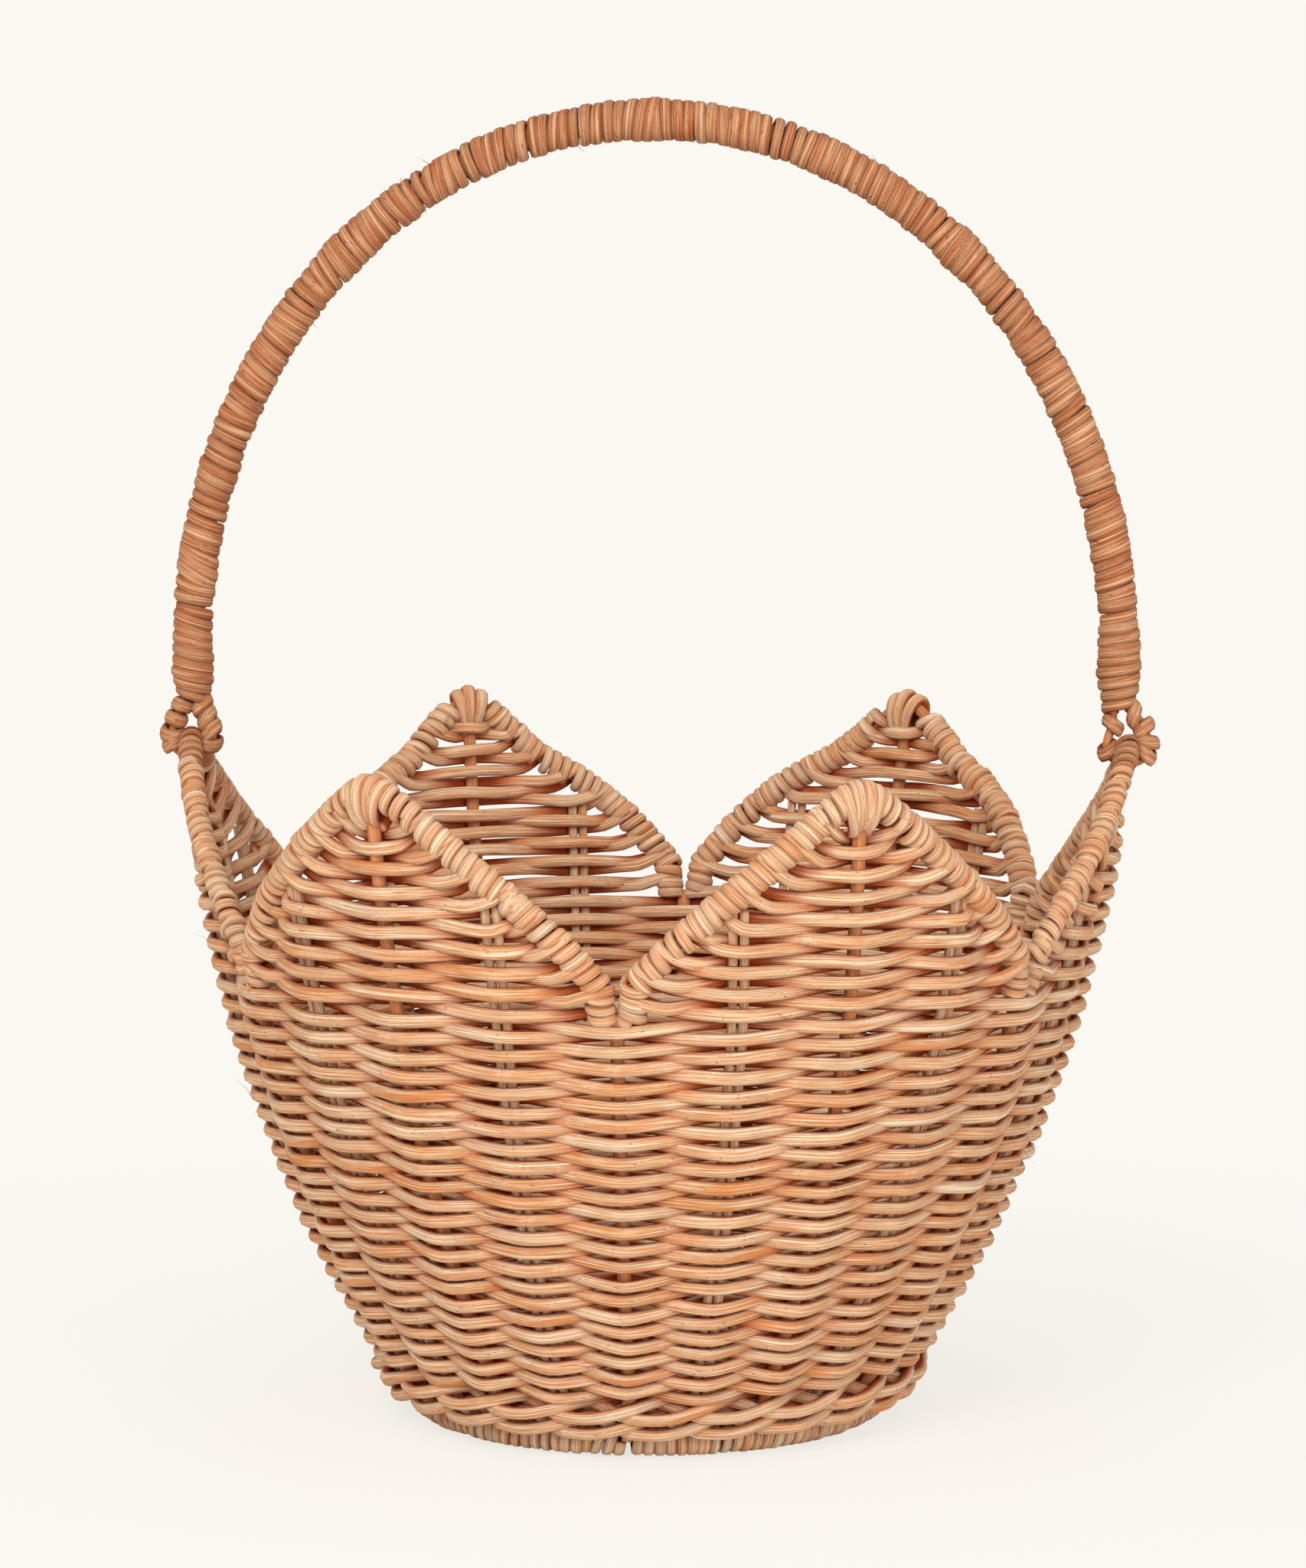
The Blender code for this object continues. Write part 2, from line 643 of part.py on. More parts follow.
# Handle: the bent core rod, and a cane wound round it in four stretches that meet at joins
def arch(share):
    """A point on the handle's half ellipse, from the left spring line (0) to the right one (1)."""
    turn = math.pi * share
    return Vector((-WALL_TIP_R * math.cos(turn), 0.0, SPRING_Z + (CROWN_Z - SPRING_Z) * math.sin(turn)))


def stretch(line, start, stop):
    """The part of a line between two distances along it."""
    length = np.concatenate([[0.0], np.cumsum(np.linalg.norm(np.diff(line, axis=0), axis=1))])
    place = np.linspace(start, stop, FINE_POINTS)
    return np.stack([np.interp(place, length, line[:, axis]) for axis in range(3)], axis=1)


def handle():
    core = [arch(index / ARCH_STEPS) for index in range(ARCH_STEPS + 1)]
    add("handle_core", rod_curve("handle_core", core, HANDLE_CORE_D, ROD_SIDES), RODS, HANDLE)

    leg = Vector((-WALL_TIP_R, 0.0, EYE_TOP_Z))
    half = [leg] + [arch(index / (2 * FINE_POINTS)) for index in range(FINE_POINTS + 1)]
    half = np.array([tuple(point) for point in half])
    length = np.concatenate([[0.0], np.cumsum(np.linalg.norm(np.diff(half, axis=0), axis=1))])
    join = np.interp(-HANDLE_JOIN_X, half[1:, 0], length[1:])
    spare = HANDLE_JOIN_GAP / 2
    stretches = (
        ("lower", HANDLE_LOWER_TURNS, HANDLE_CANE_D, join - spare),
        ("upper", HANDLE_UPPER_TURNS, join + spare, length[-1] - spare),
    )
    for label, side in (("left", 1), ("right", -1)):
        for place, turns, start, stop in stretches:
            line = stretch(half, start, stop) * np.array((side, 1.0, 1.0))
            faces = np.tile((0.0, 1.0, 0.0), (len(line), 1))
            wound_piece(f"handle_wrap_{label}_{place}", line, faces, turns, HANDLE_WIND_R,
                        HANDLE_CANE_D, side, HANDLE)


foot_hoop()
base()
stakes()
wall()
petals()
eyes()
handle()
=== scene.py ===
"""Six-petal rattan basket, dressed: every weaver, winding and rod as its own cane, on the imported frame."""
import math

import bpy
import numpy as np
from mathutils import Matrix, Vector


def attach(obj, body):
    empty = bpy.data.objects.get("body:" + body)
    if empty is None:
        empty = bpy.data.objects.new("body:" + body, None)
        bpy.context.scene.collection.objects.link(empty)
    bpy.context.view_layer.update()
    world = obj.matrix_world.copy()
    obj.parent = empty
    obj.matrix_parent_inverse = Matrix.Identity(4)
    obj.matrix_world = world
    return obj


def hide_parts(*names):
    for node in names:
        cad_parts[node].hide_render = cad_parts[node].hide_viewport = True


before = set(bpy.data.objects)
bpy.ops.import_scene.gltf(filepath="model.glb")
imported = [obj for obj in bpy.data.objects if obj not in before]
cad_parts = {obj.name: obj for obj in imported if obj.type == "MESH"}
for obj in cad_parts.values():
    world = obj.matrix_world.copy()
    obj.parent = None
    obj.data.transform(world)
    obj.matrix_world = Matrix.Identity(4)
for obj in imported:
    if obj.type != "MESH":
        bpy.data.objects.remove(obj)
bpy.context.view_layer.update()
bpy.ops.object.select_all(action="DESELECT")


# Foot hoop
# A rod bent to a ring under the base, wrapped all round with split cane, one turn beside the next.
# The basket stands on the undersides of the turns. A narrow gap at the front shows where the wrap starts.
FOOT_MIDDLE_R = 0.0612
FOOT_MIDDLE_Z = 0.0046
FOOT_REACH = 0.0040
FOOT_RISE = 0.0034
FOOT_TURNS = 132
FOOT_GAP = 0.016
FOOT_CANE = (0.0031, 0.0022)
ASKEW = 0.0014
RIM_Z = 0.185
FLATNESS = 0.75
# Painted shade: how far round a winding turn its flanks are darkened, and how far behind the stakes a weaver
# is darkened.
FLANK_SHADE_START = 0.62
FLANK_SHADE_SPAN = 0.75
SHADE_START = 0.0020
SHADE_SPAN = 0.0026


def unit(vectors):
    """Vectors of length one."""
    return vectors / np.linalg.norm(vectors, axis=-1, keepdims=True)


def cane(points, outward, width, depth, tone, sides=8, closed=False, wound=0.0, swing=None, flatness=1.0):
    """One cane as rings round a line: its depth lies along outward, its width across that.

    Turns of a winding get painted shade on their flanks, and a weaver gets painted shade where it swings
    behind the stakes.
    """
    points = np.asarray(points, float)
    count = len(points)
    if closed:
        along = unit(np.roll(points, -1, axis=0) - np.roll(points, 1, axis=0))
    else:
        along = unit(np.gradient(points, axis=0))
    outward = np.broadcast_to(outward, points.shape)
    deep = unit(outward - np.sum(outward * along, axis=1, keepdims=True) * along)
    wide = np.cross(along, deep)
    turn = 2 * math.pi * (np.arange(sides) + 0.5) / sides
    cosine, sine = np.cos(turn), np.sin(turn)
    half_depth = np.broadcast_to(depth, count)[:, None] / 2 * np.sign(cosine) * np.abs(cosine) ** flatness
    half_width = np.broadcast_to(width, count)[:, None] / 2 * np.sign(sine) * np.abs(sine) ** flatness
    rings = points[:, None] + deep[:, None] * half_depth[..., None] + wide[:, None] * half_width[..., None]
    # Painted shade, carried as an attribute: darker flanks between winding turns, darker weavers behind the
    # stakes.
    flank = np.clip((FLANK_SHADE_START - cosine) / FLANK_SHADE_SPAN, 0.0, 1.0)[None, :]
    behind_stakes_shade = 0.0
    if swing is not None:
        bared = (np.asarray(swing)[:, None] + half_depth) * np.sign(cosine)
        behind_stakes_shade = np.clip((SHADE_START - bared) / SHADE_SPAN, 0.0, 1.0)
    wound = np.broadcast_to(wound, count)[:, None]
    steps = np.linalg.norm(np.diff(np.vstack([points, points[:1]]), axis=0), axis=1)
    return {"rings": rings, "run": np.concatenate([[0.0], np.cumsum(steps)]), "closed": closed,
            "tone": np.broadcast_to(tone, count), "sunk": wound * flank + (1 - wound) * behind_stakes_shade}


def lay(name, canes, finish, body, slot, *nodes):
    """Join canes into one piece with a map along and round them, and put it in place of its CAD nodes.

    The basket was woven a little askew: its foot stands to the left of its rim.
    """
    corners, faces, maps, tones, sunk = [], [], [], [], []
    start = 0
    for strand in canes:
        rings = strand["rings"]
        count, sides = rings.shape[:2]
        spans = count if strand["closed"] else count - 1
        ring = np.arange(spans)[:, None]
        side = np.arange(sides)[None, :]
        after, beside = (ring + 1) % count, (side + 1) % sides
        quads = np.stack([ring * sides + side, ring * sides + beside,
                          after * sides + beside, after * sides + side], axis=-1)
        faces += (quads.reshape(-1, 4) + start).tolist()
        shift = 40 * float(strand["tone"][0])
        here = strand["run"][:spans, None] * 100 + shift
        there = strand["run"][1:spans + 1, None] * 100 + shift
        low, high = side / sides, (side + 1) / sides
        grid = np.zeros((spans, sides, 4, 2))
        for corner, (along, around) in enumerate(((here, low), (here, high), (there, high), (there, low))):
            grid[..., corner, 0], grid[..., corner, 1] = along, around
        maps.append(grid.reshape(-1, 2))
        if not strand["closed"]:
            faces.append((np.arange(sides)[::-1] + start).tolist())
            faces.append((np.arange(sides) + (count - 1) * sides + start).tolist())
            maps.append(np.tile((shift, 0.0), (2 * sides, 1)))
        corners.append(rings.reshape(-1, 3))
        tones.append(np.repeat(strand["tone"], sides))
        sunk.append(np.broadcast_to(strand["sunk"], (count, sides)).ravel())
        start += count * sides
    points = np.concatenate(corners)
    if body == "basket":
        points[:, 0] -= ASKEW * np.clip(1 - points[:, 2] / RIM_Z, 0.0, 1.0)
    mesh = bpy.data.meshes.new(name)
    mesh.from_pydata(points.tolist(), [], faces)
    mesh.uv_layers.new(name="cane").data.foreach_set("uv", np.concatenate(maps).ravel())
    mesh.attributes.new("tone", "FLOAT", "POINT").data.foreach_set("value", np.concatenate(tones))
    # The canes' painted shade, for the finish to darken them with.
    mesh.attributes.new("sunk", "FLOAT", "POINT").data.foreach_set("value", np.concatenate(sunk))
    mesh.shade_smooth()
    mesh.materials.append(finish)
    piece = bpy.data.objects.new(name, mesh)
    bpy.context.scene.collection.objects.link(piece)
    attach(piece, body)
    if nodes:
        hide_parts(*nodes)
    return piece


def drift(rng, count, steps, size):
    """A smooth random drift of count values, with a new direction every few steps."""
    knots = rng.normal(0.0, size, max(int(count / steps), 1) + 3)
    place = np.linspace(0.5, len(knots) - 1.5, count)
    left = np.floor(place).astype(int)
    share = place - left
    ease = share * share * (3 - 2 * share)
    return knots[left] * (1 - ease) + knots[left + 1] * ease


def cane_fibre():
    """Rattan's surface: long ribs and fibre lines, slow changes of tone and dark specks, and painted shade
    between and behind canes.
    """
    group = bpy.data.node_groups.new("cane_fibre", "ShaderNodeTree")
    for label, kind in (("Cane", "Vector"), ("Tone", "Float"), ("Sunk", "Float"), ("Pale", "Color"),
                        ("Deep", "Color"), ("Crevice", "Color"), ("Speck Share", "Float")):
        group.interface.new_socket(label, in_out="INPUT", socket_type="NodeSocket" + kind)
    for label, kind in (("Colour", "Color"), ("Roughness", "Float"), ("Height", "Float")):
        group.interface.new_socket(label, in_out="OUTPUT", socket_type="NodeSocket" + kind)
    nodes, links = group.nodes, group.links
    given = nodes.new("NodeGroupInput").outputs
    made = nodes.new("NodeGroupOutput").inputs

    def value(operation, *terms, clamp=False):
        node = nodes.new("ShaderNodeMath")
        node.operation = operation
        node.use_clamp = clamp
        for socket, term in zip(node.inputs, terms):
            if isinstance(term, (int, float)):
                socket.default_value = term
            else:
                links.new(term, socket)
        return node.outputs[0]

    def blend(share, first, second):
        node = nodes.new("ShaderNodeMix")
        node.data_type = "RGBA"
        links.new(share, node.inputs[0])
        links.new(first, node.inputs[6])
        links.new(second, node.inputs[7])
        return node.outputs[2]

    parts = nodes.new("ShaderNodeSeparateXYZ")
    links.new(given["Cane"], parts.inputs[0])
    run = parts.outputs[0]
    turn = value("MULTIPLY", parts.outputs[1], 2 * math.pi)
    round_x, round_y = value("COSINE", turn), value("SINE", turn)

    def grain(along, around, detail):
        """Noise on the cane's own surface, by how often it changes in a centimetre of run and around it."""
        place = nodes.new("ShaderNodeCombineXYZ")
        for socket, source, often in zip(place.inputs, (run, round_x, round_y), (along, around, around)):
            links.new(value("MULTIPLY", source, often), socket)
        noise = nodes.new("ShaderNodeTexNoise")
        noise.inputs["Scale"].default_value = 1.0
        noise.inputs["Detail"].default_value = detail
        links.new(place.outputs[0], noise.inputs["Vector"])
        return noise.outputs[0]

    def line(source, sharpness):
        """Thin lines where a grain passes its middle."""
        away = value("ABSOLUTE", value("SUBTRACT", source, 0.5))
        return value("SUBTRACT", 1.0, value("MULTIPLY", away, sharpness), clamp=True)

    rib = grain(0.28, 2.8, 1.0)
    fibre = grain(0.8, 7.5, 1.0)
    slow = grain(0.35, 0.3, 1.0)
    blotch = grain(2.2, 0.8, 3.0)
    dots = grain(9.0, 3.2, 1.0)
    groove, scratch, split = line(rib, 8.0), line(fibre, 7.0), line(rib, 18.0)

    level = value("MULTIPLY_ADD", given["Tone"], 0.55, 0.36)
    for source, middle, weight in ((rib, 0.5, 0.9), (slow, 0.5, 0.6), (blotch, 0.5, 0.7), (fibre, 0.5, 0.7),
                                   (groove, 0.30, -0.55), (scratch, 0.3, -0.35)):
        level = value("MULTIPLY_ADD", value("SUBTRACT", source, middle), weight, level)
    body = blend(value("ADD", level, 0.0, clamp=True), given["Deep"], given["Pale"])

    least = value("MULTIPLY_ADD", given["Speck Share"], -0.14, 0.76)
    spot = value("MULTIPLY", value("SUBTRACT", dots, least), 14.0, clamp=True)
    patch = value("MULTIPLY", value("SUBTRACT", blotch, 0.46), 6.0, clamp=True)
    speck = value("MULTIPLY", spot, patch)
    # Painted shade from the canes' attribute, together with the real split lines and specks, darkens the
    # colour towards the third colour.
    sunk = value("MULTIPLY", given["Sunk"], value("MULTIPLY_ADD", blotch, 0.6, 0.62), clamp=True)
    split_and_shade = value("MULTIPLY_ADD", split, 0.30, sunk)
    dark = value("MAXIMUM", value("MULTIPLY", speck, 0.75), split_and_shade, clamp=True)
    links.new(blend(dark, body, given["Crevice"]), made["Colour"])
    links.new(value("MULTIPLY_ADD", rib, -0.25, 0.74), made["Roughness"])
    height = value("MULTIPLY_ADD", rib, 0.8, value("MULTIPLY", fibre, 0.3))
    for source, weight in ((groove, -0.5), (scratch, -0.22), (speck, -0.4)):
        height = value("MULTIPLY_ADD", source, weight, height)
    links.new(height, made["Height"])
    return group


CANE_FIBRE = cane_fibre()


def cane_finish(name, pale, deep, speck_and_shade, speck_share, relief):
    """A rattan finish: ribs and specks on the cane's own map, painted shade between and behind canes, and a
    low sheen.
    """
    finish = bpy.data.materials.new(name)
    finish.use_nodes = True
    nodes, links = finish.node_tree.nodes, finish.node_tree.links
    shader = nodes["Principled BSDF"]
    shader.inputs["Specular IOR Level"].default_value = 0.12
    fibre = nodes.new("ShaderNodeGroup")
    fibre.node_tree = CANE_FIBRE
    for label, colour in (("Pale", pale), ("Deep", deep), ("Crevice", speck_and_shade)):
        fibre.inputs[label].default_value = (*colour, 1.0)
    fibre.inputs["Speck Share"].default_value = speck_share
    place = nodes.new("ShaderNodeUVMap")
    place.uv_map = "cane"
    links.new(place.outputs["UV"], fibre.inputs["Cane"])
    for label in ("tone", "sunk"):
        told = nodes.new("ShaderNodeAttribute")
        told.attribute_name = label
        links.new(told.outputs["Fac"], fibre.inputs[label.capitalize()])
    bump = nodes.new("ShaderNodeBump")
    bump.inputs["Strength"].default_value = 1.0
    bump.inputs["Distance"].default_value = relief
    links.new(fibre.outputs["Colour"], shader.inputs["Base Color"])
    links.new(fibre.outputs["Roughness"], shader.inputs["Roughness"])
    links.new(fibre.outputs["Height"], bump.inputs["Height"])
    links.new(bump.outputs["Normal"], shader.inputs["Normal"])
    return finish


# The third colour darkens specks and split lines, and is also painted shade: winding flanks and weavers behind
# the stakes darken towards it.
WOVEN = cane_finish("woven_cane", (0.79, 0.605, 0.41),
                    (0.64, 0.24, 0.072), (0.40, 0.056, 0.006), 0.75, 0.00034)


def foot_wrap():
    rng = np.random.default_rng(11)
    points_a_turn = 16
    count = FOOT_TURNS * points_a_turn + 1
    share = np.linspace(0.0, 1.0, count)
    azimuth = -math.pi / 2 - 0.03 + FOOT_GAP / 2 + (2 * math.pi - FOOT_GAP) * share
    turn = 2 * math.pi * FOOT_TURNS * share
    slack = np.abs(drift(rng, count, points_a_turn, 0.00025))
    cosine, sine = np.cos(turn), np.sin(turn)
    azimuth = azimuth + drift(rng, count, points_a_turn, 0.005)
    azimuth = azimuth + drift(rng, count, 3 * points_a_turn, 0.006) * sine
    radius = FOOT_MIDDLE_R + (FOOT_REACH - slack) * np.sign(cosine) * np.abs(cosine) ** FLATNESS
    height = FOOT_MIDDLE_Z + (FOOT_RISE - slack) * np.sign(sine) * np.abs(sine) ** FLATNESS
    points = np.stack([radius * np.cos(azimuth), radius * np.sin(azimuth), height], axis=1)
    outward = np.stack([cosine * np.cos(azimuth), cosine * np.sin(azimuth), sine], axis=1)
    width = FOOT_CANE[0] + drift(rng, count, points_a_turn, 0.00030)
    # A paler tone than the other canes: painted light, lifting the foot's turns out of the shade under the
    # wale and near the floor.
    tone = 0.72 + drift(rng, count, points_a_turn, 0.2)
    return cane(points, outward, width, FOOT_CANE[1], tone, wound=1.0, flatness=FLATNESS)


# The foot takes the paler woven finish, not the wound one: more painted light on the foot.
lay("foot_wrap", [foot_wrap()], WOVEN, "basket", "wound_cane", "foot_hoop")


# Base
# Two pairs of sticks crossed in the middle and splayed to spokes, with the butts of the stakes between
# them. The floor is woven round and round them, over one spoke and under the next.
BASE_Z = 0.0134
BASE_EDGE_R = 0.0655
BASE_STICK = 0.0030
BASE_PAIR_GAP = 0.0046
BASE_PITCH = 0.0026
BASE_CANE = 0.0028
BASE_FIRST_R = 0.0082
BASE_CROSS_R = 0.0125
BUTT_START_R = 0.0220
STAKE_STEP = math.pi / 12
WEAVE_SHARPNESS = 0.94

ROD = cane_finish("bare_rod", (0.60, 0.26, 0.115),
                  (0.44, 0.15, 0.050), (0.25, 0.045, 0.006), 0.25, 0.00008)


def over_and_under(place):
    """A weaver's swing: +1 at even places, -1 at odd ones, nearly straight between them."""
    return np.arcsin(WEAVE_SHARPNESS * np.cos(math.pi * place)) / math.asin(WEAVE_SHARPNESS)


def base_sticks():
    sticks = []
    inner = BASE_PAIR_GAP / 2
    bend = inner / math.tan(STAKE_STEP)
    for number in range(8):
        axis = (number // 2) * math.pi / 2
        side = 1 if number % 2 else -1
        radius = np.array([0.0, bend * 0.8, bend, bend * 1.25, BASE_EDGE_R])
        away = np.array([inner, inner, inner * 1.06, inner * 1.25, BASE_EDGE_R * math.tan(STAKE_STEP)]) * side
        lift = (BASE_STICK / 2 if number // 2 % 2 else -BASE_STICK / 2) * np.array([1, 1, 0.7, 0.3, 0.0])
        points = np.stack([radius * math.cos(axis) - away * math.sin(axis),
                           radius * math.sin(axis) + away * math.cos(axis), BASE_Z + lift], axis=1)
        sticks.append(cane(points, (0, 0, 1.0), BASE_STICK, BASE_STICK, 0.4 + 0.03 * number))
    return sticks


def base_butts():
    butts = []
    for number in range(24):
        if number % 2 and number % 6 != 3:
            continue
        azimuth = number * STAKE_STEP
        radius = np.linspace(BUTT_START_R, BASE_EDGE_R, 6)
        points = np.stack([radius * math.cos(azimuth), radius * math.sin(azimuth), np.full(6, BASE_Z)], axis=1)
        butts.append(cane(points, (0, 0, 1.0), BASE_STICK, BASE_STICK, 0.3 + 0.02 * number))
    return butts


def base_rounds():
    rng = np.random.default_rng(23)
    corners = np.radians([15, 75, 105, 165, 195, 255, 285, 345])
    rounds = []
    for number, radius in enumerate(np.arange(BASE_FIRST_R, BASE_EDGE_R, BASE_PITCH)):
        reach = (BASE_STICK + BASE_CANE) / 2
        if radius < BASE_CROSS_R:
            spokes = np.radians([0, 90, 180, 270])
            reach = BASE_STICK + BASE_CANE / 2
        elif radius < BUTT_START_R + BASE_PITCH:
            spokes = corners
        else:
            spokes = np.arange(24) * STAKE_STEP
        count = max(len(spokes) * 8, 64)
        azimuth = 2 * math.pi * np.arange(count) / count
        wrapped = np.concatenate([[spokes[-1] - 2 * math.pi], spokes, [spokes[0] + 2 * math.pi]])
        place = np.interp(azimuth, wrapped, np.arange(-1, len(spokes) + 1)) + number % 2
        swing = reach * over_and_under(place)
        far = radius + drift(rng, count, 12, 0.00010) * np.sin(azimuth / 2) ** 2
        points = np.stack([far * np.cos(azimuth), far * np.sin(azimuth), BASE_Z + swing], axis=1)
        rounds.append(cane(points, (0, 0, 1.0), BASE_CANE, BASE_CANE, rng.uniform(0.2, 0.8), 8, True,
                           swing=swing))
    return rounds


lay("base_spokes", base_sticks() + base_butts(), ROD, "basket", "bare_rod",
    "base_stick_lower_1", "base_stick_lower_2", "base_stick_upper_1", "base_stick_upper_2")
lay("base_floor", base_rounds(), WOVEN, "basket", "woven_cane", "base_weave")


# Stakes
# Upright rattan rods that the wall is woven on: thick single ones to each petal tip and to each valley,
# and between them pairs of thin rods. The thick ones are smoother and redder than the weavers.
WALL_FOOT = np.array((0.0663, 0.0083))
WALL_TIP = np.array((0.1262, 0.1850))
WALL_SWEEP = 0.3710
VALLEY_Z = 0.1270
STAKE = 0.0037
PAIR_ROD = 0.0026
PAIR_GAP = 0.0003
PETAL_ANGLE = math.pi / 3
PETALS = ("right", "back_right", "back_left", "left", "front_left", "front_right")
TIP_STAKE_DROP = 0.0060
PAIR_TOP_RISE = {"right": 0.1605, "back_right": 0.1604, "back_left": 0.1588, "left": 0.1605,
                 "front_left": 0.1605, "front_right": 0.1590}
PETAL_LEAN = {"front_left": -0.017, "front_right": -0.017, "back_right": -0.0225}
HUNG_OUT = {"left": 0.0016, "right": 0.0030}

chord = WALL_TIP - WALL_FOOT
WALL_CENTRE = ((WALL_FOOT + WALL_TIP) / 2 + np.array((-chord[1], chord[0])) / np.linalg.norm(chord)
               * math.sqrt(WALL_SWEEP ** 2 - (np.linalg.norm(chord) / 2) ** 2))
WALL_START = math.atan2(*(WALL_FOOT - WALL_CENTRE)[::-1])


def wall_rise(height):
    """How far up the wall's curve a height lies."""
    return WALL_SWEEP * (math.asin((height - WALL_CENTRE[1]) / WALL_SWEEP) - WALL_START)


def wall(azimuth, rise, out=0.0):
    """Points of the wall's middle surface, moved out of it."""
    azimuth, rise, out = np.broadcast_arrays(azimuth, rise, out)
    lean = WALL_START + rise / WALL_SWEEP
    radius = WALL_CENTRE[0] + (WALL_SWEEP + out) * np.cos(lean)
    return np.stack([radius * np.cos(azimuth), radius * np.sin(azimuth),
                     WALL_CENTRE[1] + (WALL_SWEEP + out) * np.sin(lean)], axis=-1)


def wall_out(azimuth, rise):
    """The wall's outward direction."""
    azimuth, rise = np.broadcast_arrays(azimuth, rise)
    lean = WALL_START + rise / WALL_SWEEP
    return np.stack([np.cos(lean) * np.cos(azimuth), np.cos(lean) * np.sin(azimuth), np.sin(lean)], axis=-1)


VALLEY_RISE = wall_rise(VALLEY_Z)
TIP_RISE = wall_rise(WALL_TIP[1])


def set_in(strand, name):
    """Carry a cane of one petal round to its place, with that petal's own lean."""
    points = strand["rings"]
    high = np.clip((points[..., 2] - VALLEY_Z) / (WALL_TIP[1] - VALLEY_Z), 0.0, None)
    azimuth = PETALS.index(name) * PETAL_ANGLE + PETAL_LEAN.get(name, 0.0) * high
    x, y = points[..., 0] + HUNG_OUT.get(name, 0.0) * high ** 2, points[..., 1]
    strand["rings"] = np.stack([x * np.cos(azimuth) - y * np.sin(azimuth),
                                x * np.sin(azimuth) + y * np.cos(azimuth), points[..., 2]], axis=-1)
    return strand


def stake(rng, name, offset, top_rise, thickness, aside=0.0):
    """A rod up the wall, a little crooked, at an angle from a petal's middle."""
    count = 40
    rise = np.linspace(0.0, top_rise, count)
    bent = offset + drift(rng, count, 12, 0.0009) + aside / np.hypot(*wall(0.0, rise)[:, :2].T)
    points = wall(bent, rise, drift(rng, count, 10, 0.0001))
    return set_in(cane(points, wall_out(bent, rise), thickness, thickness, rng.uniform(0.3, 0.8), 10), name)


rng = np.random.default_rng(37)
lay("tip_stakes", [stake(rng, name, 0.0, TIP_RISE - TIP_STAKE_DROP, STAKE) for name in PETALS],
    ROD, "basket", "bare_rod", *(f"tip_stake_{name}" for name in PETALS))
lay("valley_stakes", [stake(rng, name, PETAL_ANGLE / 2, VALLEY_RISE, STAKE) for name in PETALS],
    ROD, "basket", "bare_rod", *(f"valley_stake_{number}" for number in range(1, 7)))
pair_aside = (PAIR_ROD + PAIR_GAP) / 2
lay("paired_stakes", [stake(rng, name, side * PETAL_ANGLE / 4, PAIR_TOP_RISE[name], PAIR_ROD, aside)
                      for name in PETALS for side in (-1, 1) for aside in (-pair_aside, pair_aside)],
    WOVEN, "basket", "bare_rod", *(f"stake_pair_{number}" for number in range(1, 13)))


# Foot wale
# Two thick rounds at the foot of the wall, each woven with three canes at once: a cane runs outside two
# stakes and inside the third, so long slanting strokes cover the stakes' feet.
WEAVER = 0.0032
WALE_CANE = 0.0034
WALE_ROUNDS = (0.0036, 0.0092)
WALE_OUT = 0.0054
WALE_IN = 0.0032
WALE_DIP = 0.0003
WALE_SLANT = 0.0014
POINTS_A_STAKE = 9


def wale_round(rng, rise, first):
    """One of a round's three canes."""
    count = 24 * POINTS_A_STAKE
    azimuth = 2 * math.pi * np.arange(count) / count
    place = (azimuth / STAKE_STEP + first) % 3
    phase = np.interp(place, (0.0, 0.5, 1.0, 2.0, 3.0), (-0.22, 0.0, 0.22, 1.0, 1.78))
    swing = over_and_under(phase)
    out = np.where(swing > 0, swing * WALE_OUT, swing * WALE_IN)
    slant = np.interp(place, (0.0, 1.0, 2.0, 3.0), (-1.0, 1.0, 0.3, -1.0)) * WALE_SLANT
    lift = rise - WALE_DIP * swing + slant
    return cane(wall(azimuth, lift, out), wall_out(azimuth, lift), WALE_CANE * 1.08, WALE_CANE * 0.95,
                rng.uniform(0.3, 0.8), 8, True, swing=out)


rng = np.random.default_rng(41)
lay("wale", [wale_round(rng, rise, first + number) for number, rise in enumerate(WALE_ROUNDS)
             for first in range(3)], WOVEN, "basket", "woven_cane", "foot_wale")


# Siding
# Plain weave in full rounds from the wale to the valleys: each cane passes in front of one stake and behind
# the next, and the round above it does the opposite. The canes lie close, with small gaps beside the stakes.
ROW_PITCH = 0.00266
WEAVER_BREADTH = 1.15
SIDING_START = 0.0041
SIDING_TOP_ROOM = 0.0003
SINGLE_REACH = (STAKE + WEAVER) / 2
PAIR_REACH = (PAIR_ROD + WEAVER) / 2


def round_drift(rng, azimuth, size):
    """A smooth random drift that closes on itself."""
    total = np.zeros_like(azimuth)
    for waves in range(2, 15):
        total += rng.normal(0.0, size) * np.cos(waves * azimuth + rng.uniform(0, 2 * math.pi))
    return total


def siding_round(rng, rise, parity):
    count = 24 * POINTS_A_STAKE
    azimuth = 2 * math.pi * np.arange(count) / count
    place = azimuth / STAKE_STEP
    reach = (SINGLE_REACH + PAIR_REACH) / 2 + (SINGLE_REACH - PAIR_REACH) / 2 * np.cos(math.pi * place)
    out = reach * over_and_under(place + parity) + round_drift(rng, azimuth, 0.00006)
    lift = rise + round_drift(rng, azimuth, 0.00010)
    thick = WEAVER * rng.uniform(0.95, 1.07) + round_drift(rng, azimuth, 0.00004)
    tone = np.clip(rng.uniform(0.25, 0.75) + round_drift(rng, azimuth, 0.05), 0.0, 1.0)
    return cane(wall(azimuth, lift, out), wall_out(azimuth, lift), thick * WEAVER_BREADTH, thick * 0.96,
                tone, 8, True, swing=out)


